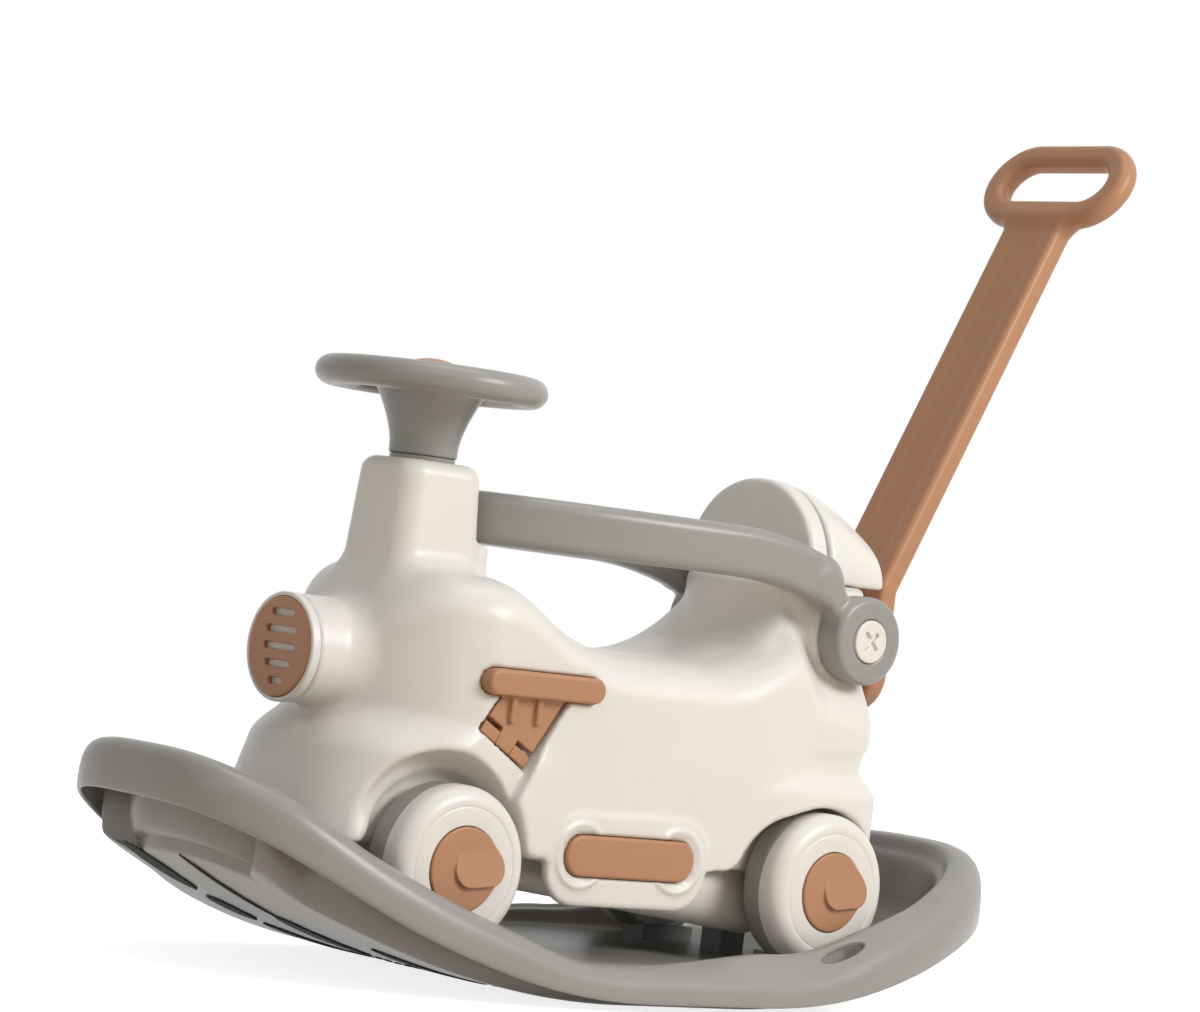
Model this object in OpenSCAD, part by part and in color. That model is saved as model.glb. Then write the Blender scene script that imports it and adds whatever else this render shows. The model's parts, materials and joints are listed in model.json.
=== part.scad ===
// Ride-on train for a small child, standing in a removable rocking tray.
// +X is forward, +Y is the train's left side, +Z is up, and z = 0 is the floor.
// The train's own pieces are drawn from the middle of the wheelbase at wheel level,
// and on_train() puts them into the tray.

/* [Standing] */
// Height of the wheel bottoms above the floor
ride_z = 34; // [32:1:40]
// Middle of the wheelbase, ahead of the middle of the tray
train_x = 24; // [18:1:30]

/* [Wheels] */
// Distance between the axles
wheel_base = 385; // [375:1:395]
// Wheel diameter
wheel_d = 124; // [118:1:128]
// Width of a wheel from its inner face to its outer face
wheel_w = 40; // [36:1:42]
// Width of the grey inner half of a wheel
tyre_w = 19; // [15:1:22]
// Width across the outer faces of a wheel pair
track_w = 240; // [236:1:244]
// Diameter of the hub cap
hub_cap_d = 64; // [56:1:68]
// Width of the raised crank bar on a hub cap
crank_w = 26; // [20:1:30]
// Axle diameter
axle_d = 10; // [8:0.5:11]

/* [Body] */
// Wall thickness of the body
wall = 3.5; // [3:0.1:4.5]
// Width of the lower skirt
skirt_w = 210; // [206:1:216]
// Front end of the skirt
nose_x = 287; // [280:1:294]
// Rear end of the skirt
tail_x = -267; // [-273:1:-261]
// Lower edge of the skirt
skirt_z0 = 76; // [72:1:80]
// Upper edge of the skirt at the nose
skirt_z1 = 161; // [155:1:167]
// Upper edge of the skirt at the tail
tail_z1 = 154; // [148:1:160]
// Radius of the skirt's front corners, seen from above
nose_r = 88; // [75:1:96]
// Width of the boiler behind the headlamp
boiler_w = 148; // [140:1:156]
// Front end of the boiler
boiler_x = 254; // [250:1:258]
// Top of the boiler
boiler_z = 280; // [276:1:284]
// Width of the body at the seat and the rear deck
hip_w = 192; // [186:1:196]
// Lowest point of the seat
seat_z = 233; // [230:1:238]
// Place of the seat's lowest point along the train
seat_x = -20; // [-26:1:-14]
// Top of the rear deck that carries the backrest
deck_z = 309; // [305:1:312]
// Rear wall of the upper body
back_x = -251; // [-255:1:-247]
// Front of the rear deck
deck_x = -134; // [-138:1:-130]
// Room between a wheel and its arch
arch_gap = 4; // [3:1:9]
// Width of the body between the wheel arches
waist_w = 148; // [144:1:150]

/* [Column] */
// Place of the steering column along the train
column_x = 185; // [181:1:189]
// Length of the column at its top
column_l = 78; // [72:1:82]
// Width of the column at its top
column_w = 72; // [66:1:78]
// Top of the column
column_z = 362; // [357:1:367]

/* [Headlamp] */
// Diameter of the grille
grille_d = 76; // [68:1:80]
// Height of the headlamp's centre
lamp_z = 209; // [205:1:213]
// Front face of the grille
lamp_x = 299; // [296:1:303]
// Number of slots in the grille
grille_slots = 5; // [3:2:7]

/* [Steering wheel] */
// Outer diameter of the rim
steer_d = 180; // [170:1:190]
// Thickness of the rim
rim_t = 25; // [21:1:27]
// Height of the rim's centre
steer_z = 423; // [419:1:428]
// Diameter of the stem at the column
stem_d = 53; // [47:1:57]
// Diameter of the steering shaft
shaft_d = 16; // [12:1:18]
// Diameter of the horn button
horn_d = 44; // [36:1:48]
// Travel of the horn button
horn_travel = 4; // [2:0.5:5]

/* [Backrest] */
// Width of the backrest
rest_w = 150; // [140:1:156]
// Top of the backrest
rest_z = 389; // [382:1:396]
// Front face of the backrest pad
rest_x = -171; // [-175:1:-167]
// Depth of the front pad
pad_l = 17; // [14:1:22]
// Depth of the rear shell
shell_l = 84; // [78:1:90]

/* [Guard rail] */
// Height of the rail's section
rail_h = 41; // [36:1:44]
// Thickness of the rail's section
rail_t = 22; // [18:1:24]
// Height of the rail's centre at the front
rail_z = 325; // [321:1:328]
// Place of the rail's end hubs along the train
hub_x = -217; // [-220:1:-212]
// Height of the end hubs
hub_z = 266; // [264:1:270]
// Diameter of the end hubs
hub_d = 72; // [66:1:78]
// Thickness of an end hub
hub_t = 26; // [24:1:30]
// Diameter of the lock screw's cap
lock_d = 35; // [30:1:40]
// Diameter of the lock screw's shank
lock_shank_d = 18; // [14:1:20]

/* [Footrests] */
// Length of the bar under the foot
bar_l = 126; // [116:1:132]
// Height of the bar
bar_h = 20; // [18:1:22]
// How far the bar stands out of the body
bar_out = 15; // [10:1:18]
// Middle of the bar along the train
bar_x = 123; // [120:1:126]
// Height of the bar's middle
bar_z = 203; // [201:1:206]
// Lower front corner of the folding plate, along the train
plate_x = 176; // [174:1:178]
// Height of that corner
plate_z = 170; // [168:1:172]
// Length of the plate's hinged edge
plate_l = 53; // [50:1:58]
// Slope of the hinged edge
plate_tilt = 28.5; // [24:0.5:32]
// Thickness of the plate
plate_t = 8; // [7:0.5:9]
// Diameter of the hinge pin
pin_d = 5; // [4:0.5:5.5]

/* [Side trim] */
// Length of the trim bar
trim_l = 132; // [120:1:136]
// Height of the trim bar
trim_h = 32; // [28:1:35]
// Middle of the trim bar along the train
trim_x = 18; // [12:1:24]
// Height of the trim bar's middle
trim_z = 77; // [74:1:80]

/* [Push handle] */
// Width of the handle bar
handle_w = 66; // [60:1:72]
// Thickness of the handle bar
handle_t = 20; // [19:0.5:24]
// Lean of the bar from upright
handle_lean = 26; // [22:1:30]
// Place of the handle's upright part along the train
handle_x = -305; // [-308:1:-302]
// Lower end of the handle
handle_z0 = 206; // [202:1:210]
// Height where the bar starts to lean
handle_bend_z = 311; // [308:1:316]
// Length of the leaning bar up to the loop
handle_l = 378; // [350:1:390]
// Width of the hand loop
loop_w = 162; // [154:1:172]
// Height of the hand loop
loop_h = 86; // [80:1:92]
// Height of the finger hole in the loop
loop_hole_h = 40; // [36:1:44]
// Width of the finger hole
loop_hole_w = 116; // [108:1:120]
// Thickness of the loop
loop_t = 21; // [18:1:24]

/* [Rocking tray] */
// Length of the tray ahead of its keel's middle
tray_front = 446; // [440:1:454]
// Length of the tray behind its keel's middle
tray_rear = 390; // [384:1:398]
// Width of the tray
tray_w = 344; // [340:1:352]
// Squareness of the tray's outline, 2 is an ellipse
tray_power = 3.1; // [3:0.1:3.6]
// Radius of the rocking keel
keel_r = 700; // [660:5:760]
// Half length of the keel's level middle
keel_flat = 60; // [50:1:75]
// Radius of the rim's lower edge
lip_r = 550; // [530:5:580]
// Height of the rim at the middle of the tray
rim_h = 34; // [30:1:38]
// Steepness of the rim towards the ends
rim_slope = 0.44; // [0.4:0.01:0.48]
// Thickness of the tray's floor
floor_t = 8; // [6:0.5:10]
// Wall thickness of the rim
rim_wall = 4; // [3.5:0.1:5]
// Thickness of the grip strips under the keel
strip_t = 1.2; // [0.8:0.1:2]
// Length of a hand slot in the rim
slot_l = 52; // [48:1:76]
// Width of a hand slot
slot_w = 18; // [16:1:20]
// Distance of the hand slots behind the middle of the tray
slot_x = 156; // [150:1:162]
// Extra height of the rim beside a hand slot
rim_swell = 13; // [8:1:16]
// Sag of the rim's front slope
rim_sag = 10; // [6:1:14]

/* [Hidden] */
$fn = 64;

cream = "#ebe5db";
grey = "#918d89";
brown = "#b5825e";
steel = "silver";
rubber = "#4d4a48";

// Clearances shared by the pieces
run_fit = 0.05;
seat_gap = 0.3;
move_gap = 0.5;
cut = 1;

wheel_r = wheel_d / 2;
axle_r = axle_d / 2;
axle_z = wheel_r;
half_base = wheel_base / 2;
wheel_in = track_w / 2 - wheel_w;
arch_r = wheel_r + arch_gap;
skirt_half = skirt_w / 2;
hip_half = hip_w / 2;
waist_half = waist_w / 2;
tail_r = 40;
back_r = 34;

// Points on curves

function lerp(a, b, t) = a + (b - a) * t;
function ramp(a, b, x) = let (t = min(1, max(0, (x - a) / (b - a)))) t * t * (3 - 2 * t);
function rise(d, r) = d <= 0 ? 0 : r - sqrt(max(0, r * r - d * d));
function soft_min(a, b, k) = let (h = max(0, k - abs(a - b)) / k) min(a, b) - h * h * k / 4;
function flat_list(rings) = [for (ring = rings) for (p = ring) p];

// Outline in y and z with round corners: rb below, ry wide and rz high above
function section(half, z0, z1, rb, ry, rz, n) = [
    for (corner = [0:3]) for (i = [0:n])
        let (
            a = 90 * (corner - 1) + 90 * i / n,
            side = corner < 2 ? 1 : -1,
            top = corner == 1 || corner == 2,
            wide = top ? ry : rb,
            high = top ? rz : rb
        )
        [side * (half - wide) + wide * cos(a), (top ? z1 - high : z0 + high) + high * sin(a)]
];

// Half width of an outline with round corners at both ends
function plan_half(x, front, rear, half, rf, rr) =
    x > front - rf ? half - rf + sqrt(max(0, rf * rf - pow(x - front + rf, 2))) :
    x < rear + rr ? half - rr + sqrt(max(0, rr * rr - pow(rear + rr - x, 2))) : half;

// Stations along such an outline, close together where it turns
function stations(front, rear, rf, rr, n) = concat(
    [for (i = [0:8]) front - rf + rf * cos(10 * i)],
    [for (i = [0:n]) lerp(front - rf, rear + rr, i / n)],
    [for (i = [1:9]) rear + rr - rr * sin(10 * i)]);

// Solid through a list of rings, closed by the first and the last one
module loft(rings) {
    n = len(rings);
    m = len(rings[0]);
    sides = [for (i = [0:n - 2]) for (j = [0:m - 1]) each [
        [i * m + j, i * m + (j + 1) % m, (i + 1) * m + (j + 1) % m],
        [i * m + j, (i + 1) * m + (j + 1) % m, (i + 1) * m + j]]];
    first = [for (j = [m - 1:-1:0]) j];
    last = [for (j = [0:m - 1]) (n - 1) * m + j];
    polyhedron(flat_list(rings), concat(sides, [first, last]), convexity = 6);
}

// Closed ring-shaped solid through a list of outlines
module loft_ring(rings) {
    n = len(rings);
    m = len(rings[0]);
    sides = [for (i = [0:n - 1]) for (j = [0:m - 1]) let (k = (i + 1) % n) each [
        [i * m + j, i * m + (j + 1) % m, k * m + (j + 1) % m],
        [i * m + j, k * m + (j + 1) % m, k * m + j]]];
    polyhedron(flat_list(rings), sides, convexity = 8);
}

// Plain shapes that repeat

module on_train() {
    translate([train_x, 0, ride_z]) children();
}

// Extrudes a shape drawn in x and z from y0 to y1
module from_side(y0, y1) {
    translate([0, y1, 0]) rotate([90, 0, 0]) linear_extrude(y1 - y0) children();
}

// Extrudes a shape drawn in y and z from x0 to x1
module from_front(x0, x1) {
    translate([x0, 0, 0]) rotate([90, 0, 90]) linear_extrude(x1 - x0) children();
}

module stadium(l, h) {
    square([l - h, h], center = true);
    for (s = [-1, 1]) translate([s * (l - h) / 2, 0]) circle(d = h);
}

module round_rect(l, h, r) {
    square([l - 2 * r, h], center = true);
    square([l, h - 2 * r], center = true);
    for (sx = [-1, 1], sy = [-1, 1])
        translate([sx * (l / 2 - r), sy * (h / 2 - r)]) circle(r);
}

module rod_y(r, y0, y1) {
    translate([0, y0, 0]) rotate([-90, 0, 0]) cylinder(r = r, h = y1 - y0);
}

module rod_x(r, x0, x1) {
    translate([x0, 0, 0]) rotate([0, 90, 0]) cylinder(r = r, h = x1 - x0);
}

module tube_y(r_out, r_in, y0, y1) {
    difference() {
        rod_y(r_out, y0, y1);
        rod_y(r_in, y0 - cut, y1 + cut);
    }
}

module at_axles() {
    for (sx = [-1, 1]) translate([sx * half_base, 0, axle_z]) children();
}

module both_sides() {
    children();
    mirror([0, 1, 0]) children();
}

// Rocking tray

tray_ends = [for (i = [0:71]) 5 * i];
lip_end = 30;
rim_top_d = 30;
wall_d = 36;
slot_d = 17;
floor_d = 42;

function power_of(v, p) = sign(v) * pow(abs(v), p);
function tray_point(a, d) = [
    ((cos(a) > 0 ? tray_front : tray_rear) - d) * power_of(cos(a), 2 / tray_power),
    (tray_w / 2 - d) * power_of(sin(a), 2 / tray_power)];
function keel_at(x) = strip_t + rise(abs(x) - keel_flat, keel_r);
function floor_at(x) = keel_at(x) + floor_t;
function lip_at(x) = let (reach = (x > 0 ? tray_front : tray_rear) - lip_end)
    strip_t + rise(min(abs(x), reach) - keel_flat, lip_r);
rim_turn = [90, 170];
// Where the rim starts to swell, has swollen, starts to sink and has sunk, from a hand slot rearwards
swell_from = [-176, -76, -16, 114];
function swell_at(x) = let (u = -x - slot_x)
    rim_swell * ramp(swell_from[0], swell_from[1], u) * ramp(-swell_from[3], -swell_from[2], -u);
function bowl_at(x) = let (u = abs(x), mid = (rim_turn[0] + rim_turn[1]) / 2)
    u < rim_turn[0] ? rim_h :
    u < rim_turn[1] ? rim_h + rim_slope * pow(u - rim_turn[0], 2) / (2 * (rim_turn[1] - rim_turn[0])) :
    rim_h + rim_slope * (u - mid);
// Where the rim's front slope starts to sag, has sagged, starts to rise and has risen
sag_from = [140, 270, 300, 410];
function sag_at(x) = rim_sag * ramp(sag_from[0], sag_from[1], x) * ramp(-sag_from[3], -sag_from[2], -x);
function rim_at(x) = bowl_at(x) + swell_at(x) - sag_at(x);

// A point of the rim: inset from the outline, share of the rim's height, and an extra height
function rim_point(a, d, share, extra) =
    let (p = tray_point(a, d)) [p[0], p[1], lerp(lip_at(p[0]), rim_at(p[0]), share) + extra];
// A point of the wall between the rim and the floor
function wall_point(a, d, above) =
    let (p = tray_point(a, d)) [p[0], p[1], floor_at(p[0]) + above];

function rim_outline(a) = [
    rim_point(a, 0, 0, 0),
    rim_point(a, 0, 0.4, 0),
    rim_point(a, 3, 0.68, 0),
    rim_point(a, 10, 0.87, 0),
    rim_point(a, 20, 0.97, 0),
    rim_point(a, rim_top_d, 1, 0),
    rim_point(a, wall_d - 4, 0.97, 0),
    rim_point(a, wall_d - 1, 0.78, 0),
    wall_point(a, wall_d + 2, 5),
    wall_point(a, floor_d + 2, -floor_t / 4),
    wall_point(a, floor_d + 2, -0.7 * floor_t),
    wall_point(a, wall_d - 1, -0.5 * floor_t),
    wall_point(a, wall_d - 3, 5),
    rim_point(a, wall_d - 1 - rim_wall, 0.74, 0),
    rim_point(a, rim_top_d, 1, -rim_wall),
    rim_point(a, 20, 0.97, -rim_wall),
    rim_point(a, 12, 0.84, -rim_wall),
    rim_point(a, 3 + rim_wall, 0.64, -1),
    rim_point(a, rim_wall, 0.4, 0),
    rim_point(a, rim_wall, 0, 0)];

// Stations along the keel for its side view
keel_step = 9.5;
keel_n = ceil(max(tray_front, tray_rear) / keel_step);
keel_x = [for (i = [-keel_n:keel_n]) keel_step * i];

module tray_floor() {
    intersection() {
        linear_extrude(rim_at(tray_front)) polygon([for (a = tray_ends) tray_point(a, floor_d - 4)]);
        from_side(-tray_w / 2, tray_w / 2) polygon(concat(
            [for (x = keel_x) [x, keel_at(x)]],
            [for (i = [len(keel_x) - 1:-1:0]) [keel_x[i], floor_at(keel_x[i])]]));
    }
}

// Room that the wheels need in the tray, from their seats up to where they are lifted clear
module wheel_wells() {
    on_train() both_sides() at_axles() hull() for (z = [0, wheel_d]) translate([0, 0, z])
        rod_y(wheel_r + move_gap, wheel_in - move_gap, track_w / 2 + move_gap);
}

module rocker_tray() {
    color(grey) difference() {
        union() {
            loft_ring([for (a = tray_ends) rim_outline(a)]);
            tray_floor();
        }
        for (side = [-1, 1])
            translate([-slot_x, side * (tray_w / 2 - slot_d), 0])
                linear_extrude(rim_at(tray_front)) stadium(slot_l, slot_w);
        wheel_wells();
    }
}

strip_w = 12;
strip_pitch = 64;
strip_end = 304;
strip_n = 32;
strip_x = [for (i = [-strip_n:strip_n]) strip_end * i / strip_n];

module grip_strips() {
    color(rubber) for (k = [-1:1])
        from_side(k * strip_pitch - strip_w / 2, k * strip_pitch + strip_w / 2)
            polygon(concat(
                [for (x = strip_x) [x, keel_at(x) - strip_t]],
                [for (i = [len(strip_x) - 1:-1:0]) [strip_x[i], keel_at(strip_x[i])]]));
}

// Block that stands on the curved floor between x0 and x1 and reaches up to z1
module floor_block(x0, x1, y0, y1, z1) {
    xs = [for (i = [0:8]) lerp(x0, x1, i / 8)];
    from_side(y0, y1)
        polygon(concat([for (x = xs) [x, floor_at(x) + seat_gap]], [[x1, z1], [x0, z1]]));
}

chock_l = 56;
chock_h = 24;
chock_w = 14;
cheek_t = 12;

// Rests under the wheels, each with a cheek beside the wheel's inner face
module wheel_chocks() {
    cheek_y = wheel_in - move_gap;
    color(grey) both_sides() difference() {
        for (sx = [-1, 1]) {
            x = train_x + sx * half_base;
            floor_block(x - chock_l / 2, x + chock_l / 2, cheek_y - cheek_t, wheel_in + chock_w,
                floor_at(x) + chock_h);
        }
        on_train() at_axles() rod_y(wheel_r + move_gap, cheek_y, wheel_in + chock_w + cut);
    }
}

cradle_l = 26;
cradle_w = 24;
cradle_lip = 8;

module axle_cradles() {
    color(grey) difference() {
        for (sx = [-1, 1]) {
            x = train_x + sx * half_base;
            floor_block(x - cradle_l / 2, x + cradle_l / 2, -cradle_w / 2, cradle_w / 2,
                ride_z + axle_z + cradle_lip);
        }
        on_train() at_axles() {
            rod_y(axle_r + seat_gap, -cradle_w, cradle_w);
            translate([0, 0, axle_d]) cube([axle_d + 2 * seat_gap, 2 * cradle_w, 2 * axle_d], center = true);
        }
    }
}

// Body

arc_n = 4;
boiler_r = 56;
seat_r = [118, 260];
seat_slope = 0.6;
hip_z = [262, 224];
hip_fall = [-150, -190];
saddle_x = [150, 235];
saddle_round = [44, 34];
hip_round = [40, 36];
side_half = skirt_half + 0.6;
hip_turn = [-95, -190];

function upper_half(x) = x > seat_x
    ? lerp(side_half, boiler_w / 2, ramp(saddle_x[0], saddle_x[1], x))
    : lerp(side_half, hip_half, ramp(-hip_turn[0], -hip_turn[1], -x));
// Height of the seat's curve, with a straight slope up to the column
function saddle_at(x) = let (d = x - seat_x, straight = seat_slope * seat_r[0])
    d < 0 ? seat_z + d * d / (2 * seat_r[1]) :
    d < straight ? seat_z + d * d / (2 * seat_r[0]) :
    seat_z + seat_slope * (d - straight / 2);
function upper_top(x) = x > seat_x
    ? soft_min(saddle_at(x), boiler_z, 14) - rise(x - boiler_x + boiler_r, boiler_r * 1.25)
    : soft_min(saddle_at(x), lerp(hip_z[0], hip_z[1], ramp(-hip_fall[0], -hip_fall[1], -x)), 12);
// Share of the hips' tighter shoulders
function hip_share(x) = ramp(-hip_turn[0], -hip_turn[1], -x);

skirt_foot_r = 4;
skirt_edge = [24, 20];
skirt_open = 10;
upper_sink = 40;

function skirt_top(x) = lerp(tail_z1, skirt_z1, (x - tail_x) / (nose_x - tail_x));

// Lower skirt, from the nose to the tail; inset draws the space inside its wall
module skirt(inset) {
    front = nose_x - inset;
    rear = tail_x + inset;
    half = skirt_half - inset;
    low = inset > 0 ? skirt_z0 - skirt_open : skirt_z0;
    loft([for (x = stations(front, rear, nose_r - inset, tail_r - inset, 12))
        let (w = plan_half(x, front, rear, half, nose_r - inset, tail_r - inset))
        [for (p = section(w, low, skirt_top(x) - inset, skirt_foot_r, min(skirt_edge[0], w),
            skirt_edge[1], arc_n)) [x, p[0], p[1]]]]);
}

// Boiler, saddle and hips in one sweep
module upper_body(inset) {
    front = boiler_x - inset;
    rear = back_x + inset;
    low = skirt_z1 - upper_sink;
    loft([for (x = stations(front, rear, boiler_r - inset, back_r - inset, 28))
        let (
            w = plan_half(x, front, rear, upper_half(x) - inset, boiler_r - inset, back_r - inset),
            share = hip_share(x),
            ry = min(lerp(saddle_round[0], hip_round[0], share), w),
            rz = lerp(saddle_round[1], hip_round[1], share)
        )
        [for (p = section(w, low, upper_top(x) - inset, skirt_foot_r, ry, rz, arc_n)) [x, p[0], p[1]]]]);
}

// Round-cornered outline seen from above, with its middle, length, width and corner radii
function plan_ring(x, l, w, rf, rr, z) = [
    for (corner = [0:3]) for (i = [0:arc_n])
        let (
            a = 90 * corner + 90 * i / arc_n,
            sx = corner == 0 || corner == 3 ? 1 : -1,
            sy = corner < 2 ? 1 : -1,
            r = sx > 0 ? rf : rr
        )
        [x + sx * (l / 2 - r) + r * cos(a), sy * (w / 2 - r) + r * sin(a), z]
];

column_top_r = 11;
column_r = 18;
column_flare = 6;
column_taper = 9;
column_sink = 14;
tower_sink = 30;

// Upright block with a round top edge; its foot widens by the taper and then by the flare
module tower(x, l, w, rf, rr, z0, z1, top_r, taper, flare) {
    foot = [for (i = [0:4]) let (t = i / 4, d = taper * (1 - t / 3) + flare * pow(1 - t, 2))
        plan_ring(x, l + d, w + d, rf, rr, lerp(z0, z1, 0.4 * t))];
    cap = [for (i = [0:4]) let (a = 22.5 * i, d = top_r * (1 - cos(a)))
        plan_ring(x, l - 2 * d, w - 2 * d, rf - d, rr - d, z1 - top_r + top_r * sin(a))];
    rings = concat([plan_ring(x, l + taper + flare, w + taper + flare, rf, rr, z0 - tower_sink)], foot, cap);
    loft([for (i = [len(rings) - 1:-1:0]) rings[i]]);
}

module column(inset) {
    tower(column_x, column_l - 2 * inset, column_w - 2 * inset, column_r, column_r, boiler_z - column_sink,
        column_z - inset, column_top_r, column_taper, column_flare);
}

ledge_l = 14;
ledge_w = 66;
ledge_sink = 24;

// Ledge on the column's back, under the front of the guard rail
module rail_ledge() {
    top = rail_z - rail_h / 2 - move_gap;
    translate([column_x - column_l / 2 - ledge_l, -ledge_w / 2, boiler_z - ledge_sink])
        cube([2 * ledge_l, ledge_w, top - boiler_z + ledge_sink]);
}

deck_in = 1;
deck_foot = 4;
deck_l = deck_x - back_x;
deck_half = rest_w / 2 - deck_in;
deck_corner = [66, 30];
deck_edge = 8;

// Block behind the seat that carries the backrest
module deck(inset) {
    tower(back_x + deck_l / 2, deck_l - 2 * inset, 2 * (deck_half - inset), deck_corner[0], deck_corner[1],
        seat_z + deck_foot, deck_z - inset, deck_edge, 0, 0);
}

barrel_edge = 3;
barrel_sink = 40;
bezel_l = 9;
barrel_r = grille_d / 2 + barrel_edge;
bezel_x = lamp_x - bezel_l;

module lamp_barrel(inset) {
    translate([0, 0, lamp_z]) rod_x(barrel_r - inset, boiler_x - barrel_sink, bezel_x - seat_gap - inset);
}

tab_edge = 18;
tab_r = 30;
tab_proud = 2;
trim_seat = 5;
ring_edge = 9;
ring_proud = 1.5;
tab_l = trim_l + 2 * tab_edge;
tab_z0 = trim_z - trim_h / 2 - tab_edge;
tab_z1 = trim_z + trim_h / 2 + tab_edge;
tab_y0 = skirt_half - wall - tab_proud;
tab_y1 = skirt_half + tab_proud;
pocket_y = tab_y1 - trim_seat;

// Raised plate that frames the trim bar and hangs below the skirt
module trim_tab() {
    from_side(tab_y0, tab_y1) translate([trim_x, (tab_z0 + tab_z1) / 2])
        round_rect(tab_l, tab_z1 - tab_z0, tab_r);
    for (s = [-1, 1]) translate([trim_x + s * (trim_l - trim_h) / 2, 0, trim_z])
        rod_y(trim_h / 2 + ring_edge, tab_y0, tab_y1 + ring_proud);
}

// Middle of a front arch's cove from the axle, and its radius, width and depth on the skirt's side
cove_at = [5.5, 6];
cove_r = 79;
cove_w = 17;
cove_t = 28;

// Coves that lead into the front wheels' arches; inset draws the wall behind them
module arch_coves(inset) {
    both_sides() translate([half_base + cove_at[0], 0, axle_z + cove_at[1]]) rotate([-90, 0, 0])
        rotate_extrude() polygon(concat(
            [[0, skirt_half + cut], [0, skirt_half - cove_t - inset]],
            [for (i = [0:6]) let (a = 15 * i)
                [cove_r - cove_w + (cove_w + inset) * sin(a), skirt_half - (cove_t + inset) * cos(a)]],
            [[cove_r + inset, skirt_half + cut]]));
}

boss_t = 4;
boss_edge = 1.5;
boss_sink = 30;
boss_r = hub_d / 2 + boss_edge;

// Round seat for the guard rail's end
module hub_boss() {
    translate([hub_x, 0, hub_z]) rod_y(boss_r, deck_half - boss_sink, deck_half + boss_t);
}

// Outline of the folding plate in x and z, and its place in the body's side
plate_front = [plate_x, plate_z];
plate_rear = [plate_x - plate_l * cos(plate_tilt), plate_z - plate_l * sin(plate_tilt)];
plate_sink = 4;
plate_slope = 0.64;
plate_top = bar_z - bar_h / 2 + plate_sink;
// Point of the plate's leaning side above an end of the hinge line
function plate_side(p, z) = [p[0] - plate_slope * (z - p[1]), z];
plate_outline = [plate_front, plate_side(plate_front, plate_top),
    plate_side(plate_rear, plate_top), plate_rear];
pocket_gap = 2.5;
hinge_in = 6;
knuckle_wall = 2.5;
plate_proud = 1;
hinge_y = skirt_half - hinge_in;
knuckle_r = pin_d / 2 + knuckle_wall;
plate_y1 = hinge_y + plate_proud;
plate_y0 = plate_y1 - plate_t;
recess_y = plate_y0 - pocket_gap;

// Room for the hinge at its ends and below it, and beside the plate
pocket_end = 3;
pocket_drop = knuckle_r + 2;
pocket_side = 3.5;
hinge_way = [cos(plate_tilt), sin(plate_tilt)];
hinge_down = [sin(plate_tilt), -cos(plate_tilt)];
bar_seat = 12;
bar_hold = 9;
pocket_out = 10;

// Outline of the recess behind the plate, grown by an inset for the wall around it
function pocket_outline(inset) = [
    plate_front + (pocket_end + inset) * hinge_way + (pocket_drop + inset) * hinge_down,
    plate_side(plate_front, bar_z + inset) + [pocket_side + inset, 0],
    plate_side(plate_rear, bar_z + inset) - [pocket_side + inset, 0],
    plate_rear - (pocket_end + inset) * hinge_way + (pocket_drop + inset) * hinge_down];

module footrest_pocket(inset) {
    from_side(recess_y - inset, skirt_half + pocket_out) polygon(pocket_outline(inset));
    from_side(skirt_half - bar_seat - inset, skirt_half + pocket_out) translate([bar_x, bar_z])
        stadium(bar_l + 2 * (move_gap + inset), bar_h + 2 * (move_gap + inset));
}

bushing_wall = 6;
shaft_hole_r = shaft_d / 2 + bushing_wall;

module body_skin() {
    difference() {
        union() {
            skirt(0);
            upper_body(0);
            column(0);
            rail_ledge();
            deck(0);
            lamp_barrel(0);
            both_sides() {
                trim_tab();
                hub_boss();
            }
        }
        difference() {
            union() {
                skirt(wall);
                upper_body(wall);
                column(wall);
                deck(wall);
            }
            at_axles() both_sides() rod_y(arch_r + wall, waist_half - wall, skirt_half);
            arch_coves(wall);
            both_sides() footrest_pocket(wall);
        }
        arch_coves(0);
        at_axles() {
            both_sides() rod_y(arch_r, waist_half, skirt_w);
            rod_y(spacer_r + move_gap, -skirt_half, skirt_half);
        }
        both_sides() {
            footrest_pocket(0);
            from_side(pocket_y, skirt_w) translate([trim_x, trim_z])
                stadium(trim_l + 2 * seat_gap, trim_h + 2 * seat_gap);
            translate([hub_x, 0, hub_z])
                rod_y(lock_r + sleeve_wall + seat_gap, 0, skirt_half + boss_t);
        }
        translate([column_x, 0, column_z - bushing_l]) cylinder(r = shaft_hole_r, h = 2 * bushing_l);
        bolt_places() translate([0, 0, -bolt_grip])
            cylinder(r = bolt_r + seat_gap, h = 2 * bolt_grip, $fn = 24);
    }
}

module body_shell() {
    color(cream) {
        body_skin();
        screw_places() translate([0, 0, chassis_t + seat_gap]) difference() {
            cylinder(r = post_r, h = post_h, $fn = 24);
            translate([0, 0, -cut]) cylinder(r = screw_r + seat_gap, h = post_bore + cut, $fn = 24);
        }
    }
}

// Chassis under the body

chassis_in = 2;
chassis_t = 4;
chassis_r = 12;
chassis_ends = [46, 54];
plate_z0 = skirt_z0 + chassis_in;
chassis_half = waist_half - wall - seat_gap;
chassis_front = half_base + chassis_ends[0];
chassis_rear = -half_base - chassis_ends[1];
tub_end = 24.5;
tub_l = wheel_base - 2 * tub_end;
tub_half = 56;
tub_z0 = 24;
tub_r = 16;
tub_wall = 3;
tub_lap = 1;
screw_r = 2.5;
screw_end = 36;
screw_edge = 5;
screw_x = [-half_base + screw_end, half_base - screw_end];
screw_y = chassis_half - screw_edge;
post_r = 5.5;
post_h = 42;
post_bore = 10;

module screw_places() {
    for (x = screw_x, sy = [-1, 1]) translate([x, sy * screw_y, plate_z0]) children();
}

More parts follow.
